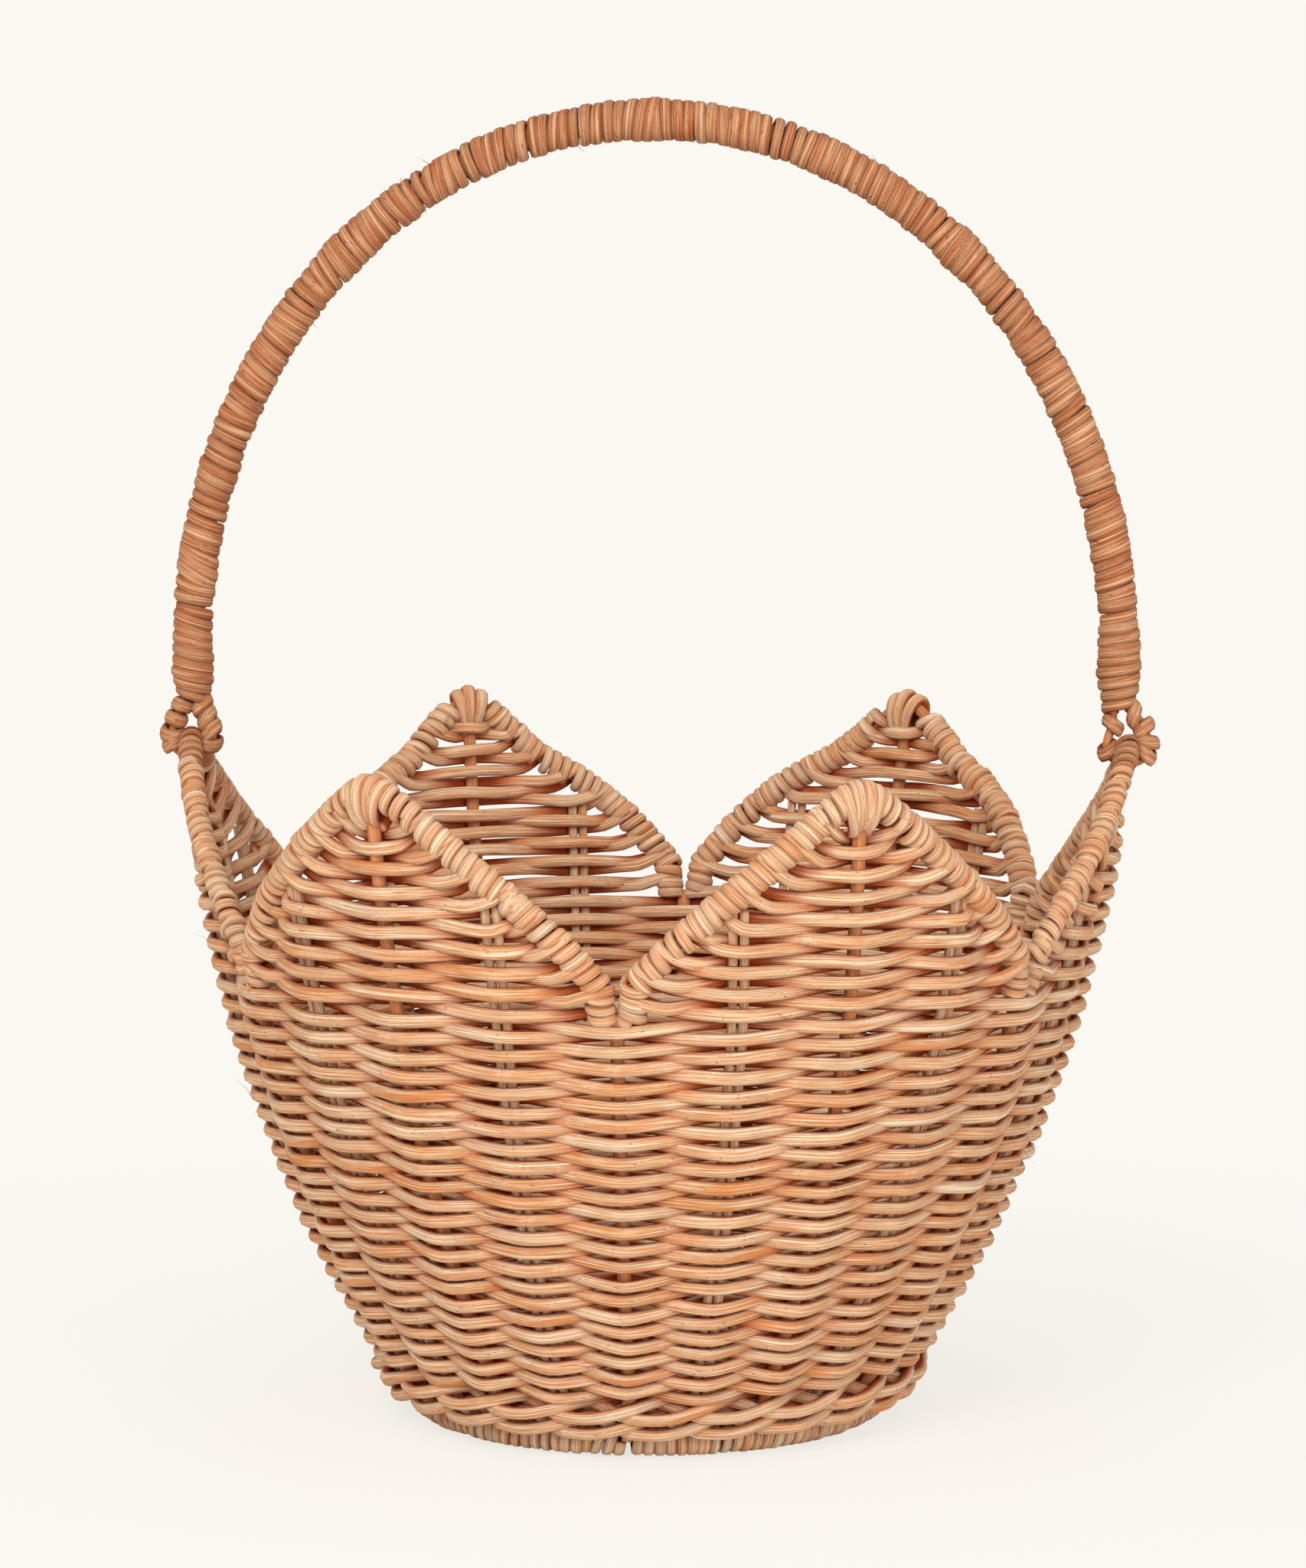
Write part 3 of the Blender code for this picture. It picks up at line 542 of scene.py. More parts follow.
rng = np.random.default_rng(53)
siding_rises = np.arange(WALE_ROUNDS[-1] + SIDING_START, VALLEY_RISE - SIDING_TOP_ROOM, ROW_PITCH)
lay("siding", [siding_round(rng, rise, (len(siding_rises) - 1 - number) % 2)
               for number, rise in enumerate(siding_rises)],
    WOVEN, "basket", "woven_cane", "siding_weave")


# Petal borders
# One rod to each petal, bent to a pointed arch. Its feet stand beside the valley stakes and the ends of the
# petal's weavers cover it; it shows only in gaps between their turns.
BORDER_ROD = 0.0032
BORDER_REACH = 0.0045
TIP_ROUNDING = 0.0040
TIP_STRAIGHTNESS = 0.9
SHOULDER_POWER = 5
BORDER_SINK = 0.0010
BORDER_CLOSING = 0.0012
VALLEY_R = float(np.hypot(*wall(0.0, VALLEY_RISE)[:2]))
BORDER_HALF_ANGLE = PETAL_ANGLE / 2 - (BORDER_REACH + 0.00015) / VALLEY_R
BORDER_FOOT_RISE = VALLEY_RISE + 2 * BORDER_REACH
PETAL_HOLLOW = {"right": 0.0, "back_right": 0.060, "back_left": 0.085, "left": 0.0,
                "front_left": 0.0, "front_right": 0.030}
PETAL_BULGE = {"right": 0.0, "back_right": 0.085, "back_left": 0.075, "left": 0.0,
               "front_left": 0.0, "front_right": 0.0}
BULGE_START = 0.3


def border_rise(offset, hollow, bulge=0.0):
    """How high the border is at an angle from the petal's middle. Flanks can be hollow and bulge below."""
    def softened(distance):
        return np.hypot(distance, TIP_ROUNDING) - TIP_ROUNDING
    share = softened(offset * WALL_TIP[0]) / softened(BORDER_HALF_ANGLE * WALL_TIP[0])
    drop = TIP_STRAIGHTNESS * share + (1 - TIP_STRAIGHTNESS) * share ** SHOULDER_POWER
    drop = drop + 4 * hollow * share * (1 - share)
    drop = drop - bulge * np.sin(math.pi * np.clip((share - BULGE_START) / (1 - BULGE_START), 0.0, 1.0))
    return TIP_RISE - drop * (TIP_RISE - BORDER_FOOT_RISE)


def border_line(hollow, bulge):
    """One side of a border from its foot to the tip: angles, rises, points and distances along it."""
    foot_close = BORDER_CLOSING / VALLEY_R * np.linspace(1.0, 0.0, 20) ** 2
    flank = np.linspace(BORDER_HALF_ANGLE, 0.0, 401)[1:]
    offset = np.concatenate([BORDER_HALF_ANGLE + foot_close, flank])
    foot_rise = np.linspace(VALLEY_RISE - BORDER_SINK, BORDER_FOOT_RISE, 20)
    rise = np.concatenate([foot_rise, border_rise(flank, hollow, bulge)])
    points = wall(offset, rise)
    run = np.concatenate([[0.0], np.cumsum(np.linalg.norm(np.diff(points, axis=0), axis=1))])
    return {"offset": offset, "rise": rise, "points": points, "run": run}


def border_frame(border, run, side):
    """Point, outward and inward directions of a border at a distance up one side of a petal."""
    def picked(values):
        return np.stack([np.interp(run, border["run"], values[:, axis]) for axis in range(3)], axis=-1)
    flip = np.array((1.0, side, 1.0))
    out = unit(picked(wall_out(border["offset"], border["rise"])))
    inward = unit(np.cross(out, picked(unit(np.gradient(border["points"], axis=0)))))
    return picked(border["points"]) * flip, out * flip, inward * flip


def over_tip(border, start, count):
    """The same along a whole border, from a distance up its right side to the same on its left one."""
    length = 2 * (border["run"][-1] - start)
    run = np.linspace(0.0, length, count)
    on_right = (run < length / 2)[:, None]
    right, left = border_frame(border, start + run, 1), border_frame(border, start + length - run, -1)
    return (length, *(np.where(on_right, first, second) for first, second in zip(right, left)))


borders = {name: border_line(PETAL_HOLLOW[name], PETAL_BULGE[name]) for name in PETALS}
for name in PETALS:
    _, line, facing, _ = over_tip(borders[name], 0.0, 80)
    rod = set_in(cane(line, facing, BORDER_ROD, BORDER_ROD, 0.4, 10), name)
    lay(f"border_rod_{name}", [rod], ROD, "basket", "bare_rod", f"petal_border_{name}")


# Petals
# Each petal is woven to and fro with one long cane: across the stakes, two or three turns round the border
# rod, and back again one row higher. The rows sag between the borders and open out towards the tip.
WRAP_REACH = {"right": 0.0024, "back_right": 0.0028, "back_left": 0.0028, "left": 0.0024,
              "front_left": 0.0028, "front_right": 0.0028}
WRAP_WIDTH = 0.0031
WRAP_PITCH = 0.0029
POINTS_A_TURN = 14
TOP_END_DROP = 0.0075
FIRST_ROW_LIFT = 0.0014
PAIR_ROOM = 0.050
SETTLE_RISE = 0.0250
SETTLE_FROM_TIP = 0.0100
SETTLE_IN = 0.0012
ROW_BEND = 0.0030
ROW_BEND_RUN = 0.0110
PETAL_ROWS = {"right": 16, "back_right": 17, "back_left": 17, "left": 16, "front_left": 17, "front_right": 17}
ROW_UNEVEN = {"right": 0.0001, "back_right": 0.0005, "back_left": 0.0005, "left": 0.0001,
              "front_left": 0.0002, "front_right": 0.0002}
TOP_ROW_DROP = {"right": 0.0200, "back_right": 0.0085, "back_left": 0.0085, "left": 0.0200,
                "front_left": 0.0125, "front_right": 0.0125}


def petal_row(rng, middle_rise, end_rise, reach_angle, sign, lifts, wrap_reach):
    """One row from the left border to the right one: points, outward directions, and its swing."""
    if reach_angle > PETAL_ANGLE / 4 + PAIR_ROOM:
        nodes = (-reach_angle, -PETAL_ANGLE / 4, 0.0, PETAL_ANGLE / 4, reach_angle)
        reaches = (wrap_reach, PAIR_REACH, SINGLE_REACH, PAIR_REACH, wrap_reach)
    else:
        nodes = (-reach_angle, 0.0, reach_angle)
        reaches = (wrap_reach, SINGLE_REACH, wrap_reach)
    count = max(int(2 * reach_angle * WALL_TIP[0] / 0.0020), 12)
    offset = np.linspace(-reach_angle, reach_angle, count)
    swing = np.interp(offset, nodes, reaches) * over_and_under(np.interp(offset, nodes, np.arange(len(nodes))))
    share = offset / reach_angle
    from_border = (reach_angle - np.abs(offset)) * WALL_TIP[0]
    rise = middle_rise + (end_rise - ROW_BEND - middle_rise) * share ** 2
    rise = rise + ROW_BEND * np.clip(1 - from_border / ROW_BEND_RUN, 0.0, 1.0) ** 2
    rise = rise + np.where(share < 0, *lifts) * np.abs(share) ** 3
    rise = rise + drift(rng, count, 9, 0.00030) * (1 - share ** 2)
    settled = np.clip((middle_rise - TIP_RISE + SETTLE_FROM_TIP) / SETTLE_RISE + 1.0, 0.0, 1.0)
    swing = swing * (1 - 0.25 * settled * (1 - share ** 2))
    out = sign * swing - SETTLE_IN * settled * (1 - share ** 2)
    return wall(offset, rise, out), sign * wall_out(offset, rise), swing


def petal_wrap(rng, border, start, stop, side, sign, turns, wrap_reach):
    """Turns round the border on one side, up it from start to stop, arriving in front if sign is +1."""
    count = int(turns * POINTS_A_TURN) + 1
    share = np.linspace(0.0, 1.0, count)
    turn = math.pi / 2 + 2 * math.pi * turns * share
    point, out, inward = border_frame(border, start + (stop - start) * share, side)
    radial = np.cos(turn)[:, None] * inward + sign * np.sin(turn)[:, None] * out
    reach = wrap_reach + np.abs(drift(rng, count, POINTS_A_TURN * 0.7, 0.00025))
    return point + reach[:, None] * radial, radial


def petal_canes(rng, name):
    """All canes of one petal, and how far up its border the weaving ends."""
    border, wrap_reach = borders[name], WRAP_REACH[name]
    first = VALLEY_RISE + FIRST_ROW_LIFT
    middles = np.linspace(first, TIP_RISE - TOP_ROW_DROP[name], PETAL_ROWS[name])
    pitch = middles[1] - middles[0]
    ends = np.linspace(first + ROW_BEND, TIP_RISE - TOP_END_DROP, PETAL_ROWS[name])
    middles = middles + rng.normal(0.0, ROW_UNEVEN[name], len(middles))
    on_border = np.interp(ends, border["rise"], border["run"])
    reach_angles = np.interp(on_border, border["run"], border["offset"])
    step = np.gradient(on_border)
    canes, stretches = [], []

    def softened(values):
        return np.convolve(np.pad(values, 3, mode="edge"), np.ones(7) / 7, mode="valid")

    def finish():
        line, facing = (np.vstack([stretch[index] for stretch in stretches]) for index in (0, 1))
        swing, wound = (np.concatenate([stretch[index] for stretch in stretches]) for index in (2, 3))
        wound = softened(wound)
        eased = np.stack([softened(line[:, axis]) for axis in range(3)], axis=1)
        line = line + (eased - line) * (4 * wound * (1 - wound))[:, None]
        thick = WEAVER * (1 + drift(rng, len(line), 30, 0.03))
        wrap_depth = 2 * wrap_reach - BORDER_ROD
        broad = thick * WEAVER_BREADTH
        width = broad + (WRAP_WIDTH - broad) * wound + drift(rng, len(line), 9, 0.0002) * wound
        depth = thick * 0.94 + (wrap_depth - thick * 0.94) * wound
        tone = np.clip(0.5 + drift(rng, len(line), 60, 0.15), 0.0, 1.0)
        canes.append(cane(line, facing, width, depth, tone, wound=wound, swing=swing, flatness=0.92))
        stretches.clear()

    def add(line, facing, swing, wound):
        stretches.append((line, facing, swing * np.ones(len(line)), np.full(len(line), wound)))

    last_sign = 0
    for number, (middle, end) in enumerate(zip(middles, ends)):
        paired = reach_angles[number] > PETAL_ANGLE / 4 + PAIR_ROOM
        sign = (1 if number % 2 else -1) * (1 if paired else -1)
        side = -1 if number % 2 else 1
        low, high = on_border[number] - step[number] / 2, on_border[number] + step[number] / 2
        low = low if number else 0.0
        if sign == last_sign:
            finish()
        if not stretches:
            turns = 1.5 if number else 2.5
            line, facing = petal_wrap(rng, border, low, high, -side, -sign, turns, wrap_reach)
            add(line[:-1], facing[:-1], wrap_reach, 1.0)
        lifts = (pitch / 2, -pitch / 2) if side > 0 else (-pitch / 2, pitch / 2)
        line, facing, swing = petal_row(rng, middle, end, reach_angles[number], sign, lifts, wrap_reach)
        way = slice(1, -1) if side > 0 else slice(-2, 0, -1)
        add(line[way], facing[way], swing[way], 0.0)
        top = high if number + 1 == len(ends) else on_border[number + 1] + step[number + 1] / 2
        turns = max(round((top - low) / WRAP_PITCH - 0.5), 1) + 0.5
        line, facing = petal_wrap(rng, border, low, top, side, sign, turns, wrap_reach)
        add(line, facing, wrap_reach, 1.0)
        last_sign = sign
    finish()
    return canes, on_border[-1] + step[-1] / 2


petal_tops = {}
for number, name in enumerate(PETALS):
    rng = np.random.default_rng(101 + number)
    woven, petal_tops[name] = petal_canes(rng, name)
    lay(f"petal_{name}", [set_in(strand, name) for strand in woven], WOVEN, "basket", "woven_cane",
        f"petal_weave_{name}")


# Tip bindings
# The last cane of a petal is looped three or four times over its tip, fanned out from the top of the stake.
# On the two petals that carry the handle the rod is wrapped closely instead, and runs through the eye.
FAN_CENTRE_DROP = 0.0160
FAN_STEP = 11.5
FAN_LOOPS = {"back_right": 3, "back_left": 3, "front_left": 4, "front_right": 4}
FAN_BARE = {"back_right": 1.25, "back_left": 1.1, "front_left": 0.5, "front_right": 0.5}
FAN_CANE = (0.0040, 0.0026)
FAN_LENGTH = 0.0112
FAN_FRONT = 0.0034
HUNG_CANE = (0.0030, 0.0014)
HUNG_PITCH = 0.0027
HUNG_LUMP = 0.0005

# The third colour darkens specks and split lines, and is also painted shade between the turns of the windings,
# fans and eye beads.
WOUND = cane_finish("wound_cane", (0.62, 0.345, 0.185),
                    (0.35, 0.085, 0.020), (0.22, 0.027, 0.003), 0.80, 0.00034)


def fan(rng, turns, hollow):
    """Loops over a petal's tip, from one side to the other."""
    count = turns * 18 + 1
    turn = np.linspace(0.0, 2 * math.pi * turns, count)
    angle = np.radians((turn / (2 * math.pi) - turns / 2) * FAN_STEP + drift(rng, count, 18, 1.2))
    arch = np.linspace(-0.12, 0.12, 121)
    drop = FAN_CENTRE_DROP - (TIP_RISE - border_rise(arch, hollow))
    far = np.interp(angle, np.arctan2(arch * WALL_TIP[0], drop), np.hypot(arch * WALL_TIP[0], drop))
    far = far + BORDER_ROD / 2 + FAN_CANE[1] / 2
    swing = FAN_LENGTH / 2
    distance = far - swing - swing * np.cos(turn)
    out = FAN_FRONT * np.sin(turn) * (1 + drift(rng, count, 18, 0.14))
    azimuth = distance * np.sin(angle) / WALL_TIP[0]
    rise = TIP_RISE - FAN_CENTRE_DROP + distance * np.cos(angle)
    upward = unit(wall(azimuth + np.sin(angle) * 0.001 / WALL_TIP[0], rise + np.cos(angle) * 0.001)
                  - wall(azimuth, rise))
    facing = wall_out(azimuth, rise) * np.sin(turn)[:, None] - upward * np.cos(turn)[:, None]
    width = FAN_CANE[0] * (0.86 - 0.14 * np.cos(turn))
    tone = np.clip(0.55 + drift(rng, count, 18, 0.22), 0.0, 1.0)
    return cane(wall(azimuth, rise, out), facing, width, FAN_CANE[1], tone, wound=1.0, flatness=0.9)


def close_wrap(rng, line, out, inward, length, cane_size, pitch, lump=0.0):
    """A close winding along a stretch of border; over a tip it swells on both sides."""
    turns = max(int(length / pitch), 1)
    place = np.linspace(0, len(line) - 1, turns * POINTS_A_TURN + 1)
    known = np.arange(len(line))
    line, out, inward = (np.stack([np.interp(place, known, values[:, axis]) for axis in range(3)], axis=1)
                         for values in (line, out, inward))
    turn = 2 * math.pi * turns * np.linspace(0.0, 1.0, len(line))
    radial = np.cos(turn)[:, None] * out - np.sin(turn)[:, None] * inward
    reach = BORDER_ROD / 2 + cane_size[1] / 2 + np.abs(drift(rng, len(line), POINTS_A_TURN, 0.00012))
    from_tip = np.abs(np.linspace(-length / 2, length / 2, len(line)))
    swelling = np.exp(-((from_tip - 0.0075) / 0.003) ** 2) + 1.4 * np.exp(-(from_tip / 0.003) ** 2)
    reach = reach + lump * swelling
    return cane(line + reach[:, None] * radial, radial, *cane_size, rng.uniform(0.35, 0.65), 8, wound=1.0,
                flatness=FLATNESS)


for number, name in enumerate(PETALS):
    rng = np.random.default_rng(211 + number)
    start = petal_tops[name] - 0.001
    if name in HUNG_OUT:
        length, line, out, inward = over_tip(borders[name], start, 200)
        bound = close_wrap(rng, line, out, inward, length, HUNG_CANE, HUNG_PITCH, HUNG_LUMP)
        lay(f"tip_wrap_{name}", [set_in(bound, name)], WOUND, "basket", "wound_cane")
        continue
    bound = [fan(rng, FAN_LOOPS[name], PETAL_HOLLOW[name])]
    bare = FAN_BARE[name] * math.radians(FAN_STEP) * FAN_LOOPS[name] / 2 * FAN_CENTRE_DROP
    edge = float(np.interp(-bare / WALL_TIP[0], -borders[name]["offset"], borders[name]["run"]))
    for side in (1, -1):
        frames = border_frame(borders[name], np.linspace(start, edge, 60), side)
        bound.append(close_wrap(rng, *frames, edge - start, (WRAP_WIDTH, 0.0024), WRAP_PITCH))
    lay(f"tip_fan_{name}", [set_in(strand, name) for strand in bound], WOVEN, "basket", "wound_cane",
        f"tip_binding_{name}")


# Handle
# A thick rod bent to a high arch and wound tightly with split cane, from both ends to the crown and
# opposite ways. Small lumps show where new canes were let in, and the lowest turns close over the eyes' legs.
HANDLE_CORE = 0.0066
HANDLE_CROWN_Z = 0.3549
HANDLE_SPAN = {"left": 0.1274, "right": 0.1266}
HANDLE_SPRING_Z = 0.2101
HANDLE_LOW_Z = 0.1955
HANDLE_REACH = 0.00450
HANDLE_CANE = (0.0036, 0.0023)
HANDLE_PITCH = 0.00300
HANDLE_TILT = 0.0006
HANDLE_JOIN = 0.0830
HANDLE_LUMP = 0.0006


def half_arch(label):
    """The handle's middle line from one eye to the crown, and the distance along it."""
    turn = np.linspace(0.0, math.pi / 2, 400)
    span = HANDLE_SPAN[label] * (-1 if label == "left" else 1)
    line = np.stack([span * np.cos(turn), np.zeros(400),
                     HANDLE_SPRING_Z + (HANDLE_CROWN_Z - HANDLE_SPRING_Z) * np.sin(turn)], axis=1)
    line = np.vstack([[(span, 0.0, HANDLE_LOW_Z)], line])
    return line, np.concatenate([[0.0], np.cumsum(np.linalg.norm(np.diff(line, axis=0), axis=1))])


def handle_winding(rng, label):
    """One half of the handle's winding, from its eye to the crown."""
    arch, run = half_arch(label)
    length = run[-1]
    stop = length + HANDLE_PITCH * 0.3
    turns = int(stop / HANDLE_PITCH)
    count = turns * 18 + 1
    place = np.linspace(0.0, stop, count)

    def on_arch(distance):
        return np.stack([np.interp(distance, run, arch[:, axis]) for axis in range(3)], axis=1)

    before, after = np.minimum(place, length - 0.001) - 0.001, np.minimum(place + 0.001, length)
    along = unit(on_arch(after) - on_arch(before))
    middle = on_arch(place) + np.maximum(place - length, 0.0)[:, None] * along
    front = np.array((0.0, 1.0, 0.0))
    across = np.cross(along, front) * (-1 if label == "left" else 1)
    join = np.interp(HANDLE_JOIN, np.abs(arch[:0:-1, 0]), run[:0:-1])
    lump = np.exp(-((place - join) / 0.0045) ** 2) + 0.7 * np.exp(-((place - length) / 0.004) ** 2)
    lump = lump + 0.8 * np.exp(-((place - 0.0090) / 0.004) ** 2) - 1.2 * np.exp(-(place / 0.003) ** 2)
    turn = 2 * math.pi * turns * place / stop
    radial = np.cos(turn)[:, None] * front + np.sin(turn)[:, None] * across
    reach = HANDLE_REACH + HANDLE_LUMP * lump + drift(rng, count, 14, 0.00022)
    tilt = drift(rng, count, 50, 0.0005) - HANDLE_TILT * np.clip(1 - place / length, 0.0, 1.0)
    slip = drift(rng, count, 20, 0.00028) + tilt * np.sin(turn)
    line = middle + reach[:, None] * radial + slip[:, None] * along
    width = HANDLE_CANE[0] + drift(rng, count, 20, 0.00040)
    tone = np.clip(0.5 + drift(rng, count, 18, 0.15), 0.0, 1.0)
    return cane(line, radial, width, HANDLE_CANE[1], tone, wound=0.9, flatness=0.85)


handle_lines = [half_arch(label)[0][4::8] for label in ("left", "right")]
core_line = np.vstack([handle_lines[0], handle_lines[1][::-1]])
lay("handle_rod", [cane(core_line, (0.0, 1.0, 0.0), HANDLE_CORE, HANDLE_CORE, 0.3, 12)],
    ROD, "handle", "bare_rod", "handle_core")
for label, seed in (("left", 301), ("right", 302)):
    lay(f"handle_winding_{label}", [handle_winding(np.random.default_rng(seed), label)], WOUND, "handle",
        "wound_cane", f"handle_wrap_{label}_lower", f"handle_wrap_{label}_upper")


# Handle eyes
# At each end a thin rod is bent to a teardrop round the petal's tip, with both legs up under the winding.
# Single turns of cane sit on its two sides like beads, close on the left eye and further apart on the right.
EYE_ROD = 0.0024
EYE_HALF_WIDTH = 0.0056
EYE_LOW_Z = 0.1808
EYE_MIDDLE_Z = 0.1862
EYE_NECK_Z = 0.1968
EYE_LEG_ASIDE = 0.0016
EYE_LEG_TOP_Z = 0.2060
EYE_LEAN_Z = 0.1915
EYE_CANE = (0.0040, 0.0020)
EYE_BEADS = {"left": {-1: ((0.35, 0.05), (0.53, 0.0), (0.71, -0.1), (0.89, 0.2)),
                      1: ((0.36, 0.25), (0.55, 0.5), (0.72, 0.6), (0.89, 0.5))},
             "right": {-1: ((0.38, 0.4), (0.74, -0.3)),
                       1: ((0.35, -0.5), (0.52, -0.3), (0.70, 0.3), (0.87, 0.7))}}


def eye_side(share):
    """Sideways distance and height on one side of an eye, from its lowest point (0) to its top (1)."""
    low = np.clip(share / 0.5, 0.0, 1.0) * math.pi / 2
    high = np.clip((share - 0.5) / 0.5, 0.0, 1.0)
    aside = np.where(share < 0.5, EYE_HALF_WIDTH * np.sin(low) ** 0.7,
                     EYE_LEG_ASIDE + (EYE_HALF_WIDTH - EYE_LEG_ASIDE) * (1 - high ** 1.3))
    height = np.where(share < 0.5, EYE_MIDDLE_Z - (EYE_MIDDLE_Z - EYE_LOW_Z) * np.cos(low),
                      EYE_MIDDLE_Z + (EYE_NECK_Z - EYE_MIDDLE_Z) * high)
    return aside, height


def eye_line(label, way, share):
    """Points up one side of an eye, whose neck leans over to the end of the handle."""
    aside, height = eye_side(share)
    side = -1 if label == "left" else 1
    centre = side * (WALL_TIP[0] + HUNG_OUT[label])
    lean = np.clip((height - EYE_LEAN_Z) / (EYE_NECK_Z - EYE_LEAN_Z), 0.0, 1.0)
    x = centre + way * aside + lean * (side * HANDLE_SPAN[label] - centre)
    return np.stack([x, np.zeros_like(x), height], axis=1)


def eye_rod(label):
    share = np.linspace(0.0, 1.0, 40)
    left, right = eye_line(label, -1, share), eye_line(label, 1, share)
    left_leg, right_leg = left[-1:] * (1, 1, 0), right[-1:] * (1, 1, 0)
    top = np.array((0.0, 0.0, EYE_LEG_TOP_Z))
    points = np.vstack([left_leg + top, left[::-1], right[1:], right_leg + top])
    return cane(points, (0.0, 1.0, 0.0), EYE_ROD, EYE_ROD, 0.5, 10)


def eye_bead(rng, label, way, share, tilt):
    """One turn of cane round the side of an eye, a little askew."""
    turn = 2 * math.pi * np.arange(20) / 20
    below, middle, above = eye_line(label, way, np.array((share - 0.01, share, share + 0.01)))
    along = unit(above - below)
    front = np.array((0.0, -1.0, 0.0))
    radial = np.cos(turn)[:, None] * front + np.sin(turn)[:, None] * np.cross(along, front)
    reach = (EYE_ROD + EYE_CANE[1]) / 2 + rng.uniform(0.0, 0.0003)
    skew = rng.normal(0.0, 0.2) * np.cos(turn) + (tilt + rng.normal(0.0, 0.06)) * np.sin(turn)
    line = middle + reach * (radial + skew[:, None] * along)
    return cane(line, radial, *EYE_CANE, rng.uniform(0.3, 0.7), 8, True, wound=0.8)


for label, seed in (("left", 401), ("right", 402)):
    rng = np.random.default_rng(seed)
    lay(f"eye_rod_{label}", [eye_rod(label)], ROD, "handle", "bare_rod", f"eye_{label}")
    beads = [eye_bead(rng, label, way, *bead) for way in (-1, 1) for bead in EYE_BEADS[label][way]]
    lay(f"eye_beads_{label}", beads, WOUND, "handle", "wound_cane",
        f"eye_wrap_{label}_inner", f"eye_wrap_{label}_outer")


# Loose fibres
# Thin splinters that lift off the canes, left where the cane was split and drawn through the weave.
FIBRE = 0.00022
WALL_FIBRES = 110
HANDLE_FIBRES = 30


def fibre(rng, start, along, lift, length):
    """One splinter, leaving the cane along it and curling away."""
    share = np.linspace(0.0, 1.0, 5)[:, None]
    curl = np.cross(along, lift) * rng.normal(0.0, 0.35)
    points = start + along * length * share + (lift * rng.uniform(0.1, 0.35) + curl) * length * share ** 2
    thick = FIBRE * (1.1 - share[:, 0])
    return cane(points, lift, thick, thick, rng.uniform(0.2, 0.9), 4)


rng = np.random.default_rng(71)
fibres = []
for _ in range(WALL_FIBRES):
    azimuth, rise = rng.uniform(0, 2 * math.pi), rng.uniform(0.006, VALLEY_RISE + 0.020)
    lift = wall_out(azimuth, rise)
    along = np.array((-math.sin(azimuth), math.cos(azimuth), 0.0)) * rng.choice((-1, 1))
    along = along + rng.normal(0, 0.25, 3)
    start = wall(azimuth, rise, rng.uniform(0.0025, 0.0045))
    fibres.append(fibre(rng, start, unit(along), lift, rng.uniform(0.004, 0.011)))
lay("wall_fibres", fibres, WOVEN, "basket", "woven_cane")
fibres = []
for _ in range(HANDLE_FIBRES):
    arch, _ = half_arch(rng.choice(("left", "right")))
    place = rng.integers(3, len(arch) - 3)
    way = unit(arch[place + 2] - arch[place - 2])
    turn = rng.uniform(0, 2 * math.pi)
    front = np.array((0.0, -1.0, 0.0))
    lift = math.cos(turn) * front + math.sin(turn) * np.cross(way, front)
    along = unit(np.cross(way, lift) * rng.choice((-1, 1)) + way * rng.normal(0, 0.4))
    start = arch[place] + lift * (HANDLE_REACH + 0.0010)
    fibres.append(fibre(rng, start, along, lift, rng.uniform(0.002, 0.005)))
lay("handle_fibres", fibres, WOUND, "handle", "wound_cane")


# Studio
# A pale floor that runs out of view, a soft light above the front and an even sky, with the camera where the
# photograph was taken from.
FLOOR_SIZE = 30.0
BACKGROUND = (0.965, 0.939, 0.888)


def seen_plainly(nodes, links):
    """1 for a ray from the camera, a mirror or a glass, which sees the plain background; else 0."""
    rays = nodes.new("ShaderNodeLightPath")
    total = rays.outputs["Is Camera Ray"]
    for kind in ("Is Glossy Ray", "Is Transmission Ray"):
        either = nodes.new("ShaderNodeMath")
        either.operation = "MAXIMUM"
        links.new(total, either.inputs[0])
        links.new(rays.outputs[kind], either.inputs[1])
        total = either.outputs[0]
    return total


bpy.ops.mesh.primitive_plane_add(size=FLOOR_SIZE, location=(0.0, 0.0, 0.0))
floor = bpy.context.object
floor.name = "floor"
paper = bpy.data.materials.new("paper")
paper.use_nodes = True
nodes, links = paper.node_tree.nodes, paper.node_tree.links
nodes["Principled BSDF"].inputs["Base Color"].default_value = (0.82, 0.80, 0.76, 1.0)
nodes["Principled BSDF"].inputs["Roughness"].default_value = 0.9
nodes["Principled BSDF"].inputs["Specular IOR Level"].default_value = 0.0
glow = nodes.new("ShaderNodeEmission")
glow.inputs["Color"].default_value = (*BACKGROUND, 1.0)
place = nodes.new("ShaderNodeTexCoord")
away = nodes.new("ShaderNodeVectorMath")
away.operation = "LENGTH"
links.new(place.outputs["Object"], away.inputs[0])
fade = nodes.new("ShaderNodeMapRange")
for socket, level in zip(fade.inputs[1:5], (0.10, 0.45, 0.80, 1.0)):
    socket.default_value = level
links.new(away.outputs["Value"], fade.inputs[0])
share = nodes.new("ShaderNodeMath")
share.operation = "MULTIPLY"
links.new(seen_plainly(nodes, links), share.inputs[0])
links.new(fade.outputs[0], share.inputs[1])
mixed = nodes.new("ShaderNodeMixShader")
links.new(share.outputs[0], mixed.inputs[0])
links.new(nodes["Principled BSDF"].outputs[0], mixed.inputs[1])
links.new(glow.outputs[0], mixed.inputs[2])
links.new(mixed.outputs[0], nodes["Material Output"].inputs["Surface"])
floor.data.materials.append(paper)

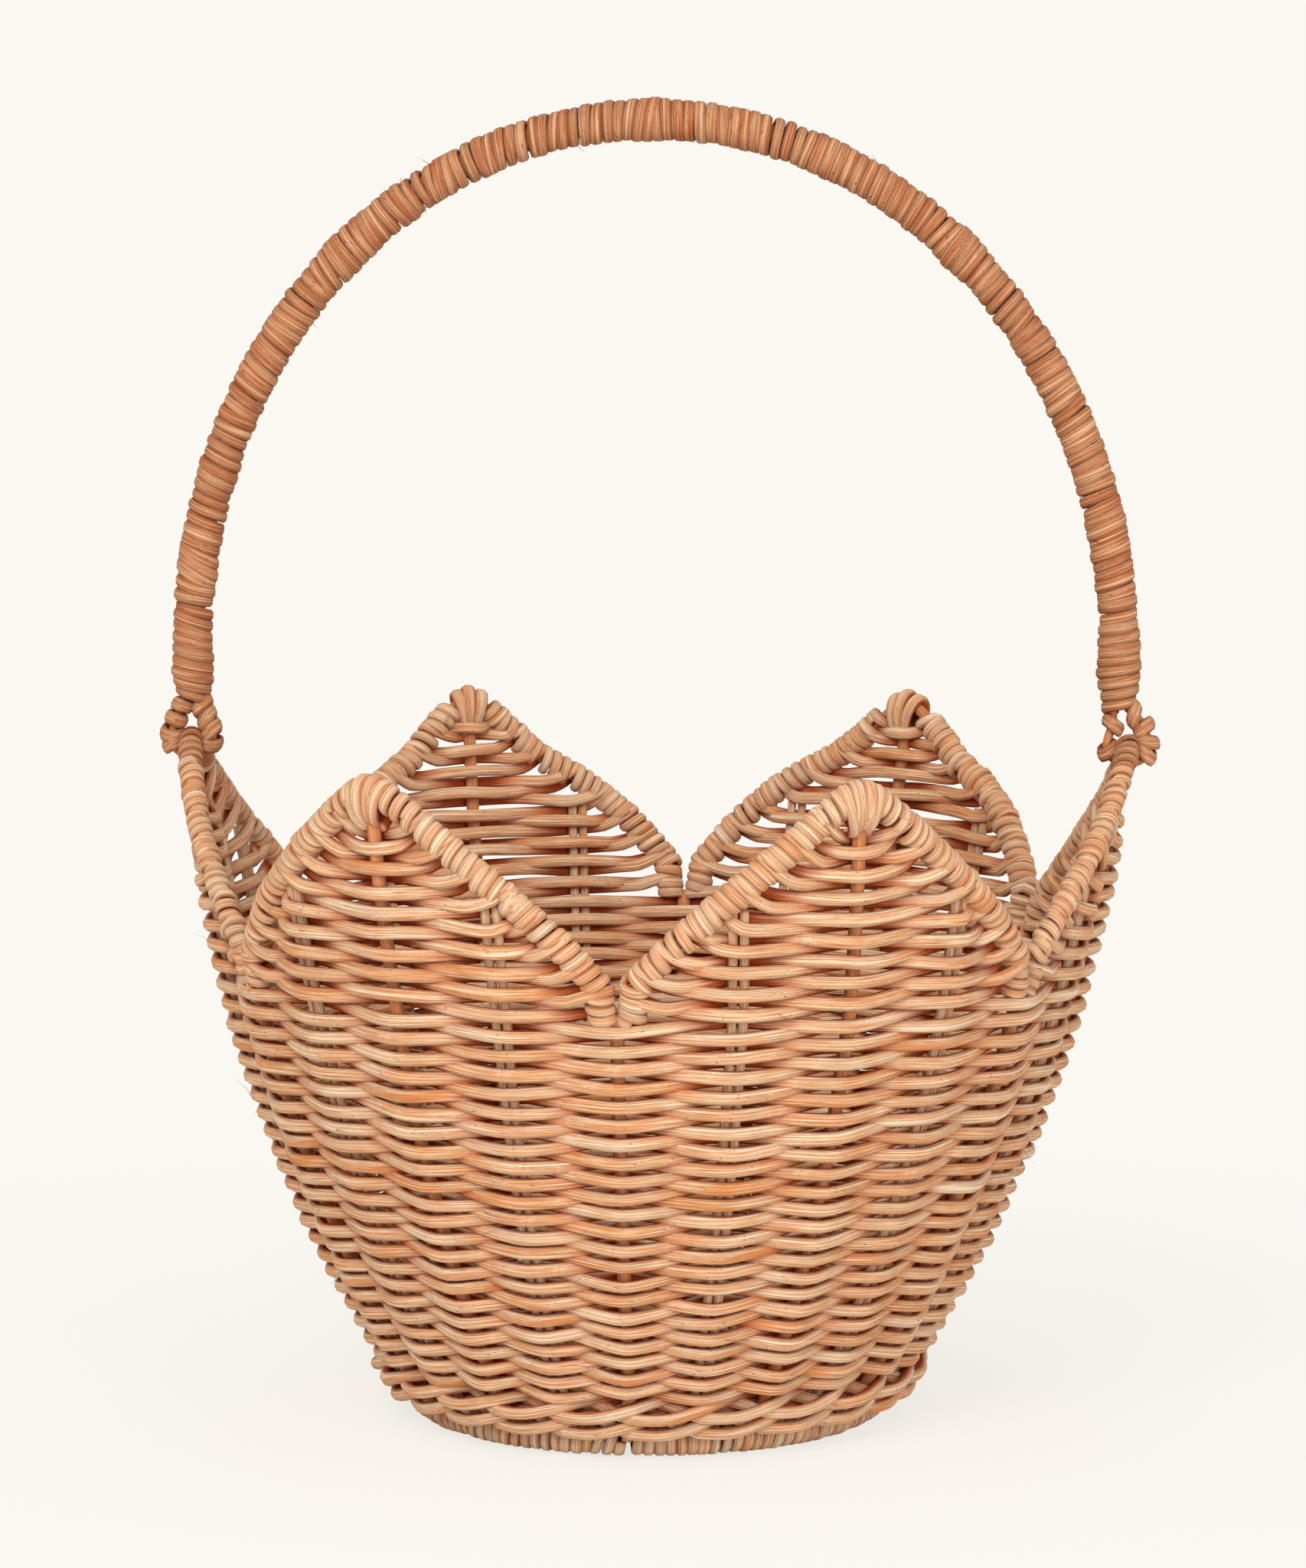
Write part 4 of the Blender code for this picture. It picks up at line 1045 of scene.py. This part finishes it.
world = bpy.data.worlds.new("studio")
bpy.context.scene.world = world
world.use_nodes = True
nodes, links = world.node_tree.nodes, world.node_tree.links
sky = nodes["Background"]
sky.inputs["Color"].default_value = (1.0, 0.985, 0.96, 1.0)
sky.inputs["Strength"].default_value = 0.76
backdrop = nodes.new("ShaderNodeBackground")
backdrop.inputs["Color"].default_value = (*BACKGROUND, 1.0)
mixed = nodes.new("ShaderNodeMixShader")
links.new(seen_plainly(nodes, links), mixed.inputs[0])
links.new(sky.outputs[0], mixed.inputs[1])
links.new(backdrop.outputs[0], mixed.inputs[2])
links.new(mixed.outputs[0], nodes["World Output"].inputs["Surface"])


def softbox(name, place, target, size, power):
    light = bpy.data.lights.new(name, "AREA")
    light.shape = "DISK"
    light.size = size
    light.energy = power
    lamp = bpy.data.objects.new(name, light)
    lamp.location = place
    lamp.rotation_euler = (Vector(target) - Vector(place)).to_track_quat("-Z", "Y").to_euler()
    bpy.context.scene.collection.objects.link(lamp)


softbox("key", (-0.5, -1.8, 1.35), (0.0, 0.0, 0.15), 1.2, 29.0)
softbox("fill", (1.2, -1.6, 0.5), (0.0, 0.0, 0.12), 1.2, 15.0)

VIEW_TURN = math.radians(4.43)
VIEW_LIFT = math.radians(6.91)
VIEW_DISTANCE = 1.6978
VIEW_CENTRE_Z = 0.17375
VIEW_CENTRE_X = -0.00045
VIEW_LENS = 142.2
camera = bpy.data.objects.new("camera", bpy.data.cameras.new("camera"))
camera.data.lens = VIEW_LENS
back = Vector((math.sin(VIEW_TURN) * math.cos(VIEW_LIFT), -math.cos(VIEW_TURN) * math.cos(VIEW_LIFT),
               math.sin(VIEW_LIFT)))
right = Vector((math.cos(VIEW_TURN), math.sin(VIEW_TURN), 0.0))
camera.location = Vector((0.0, 0.0, VIEW_CENTRE_Z)) + right * VIEW_CENTRE_X + back * VIEW_DISTANCE
camera.rotation_euler = back.to_track_quat("Z", "Y").to_euler()
bpy.context.scene.collection.objects.link(camera)
bpy.context.scene.camera = camera
bpy.context.scene.view_settings.view_transform = "Standard"
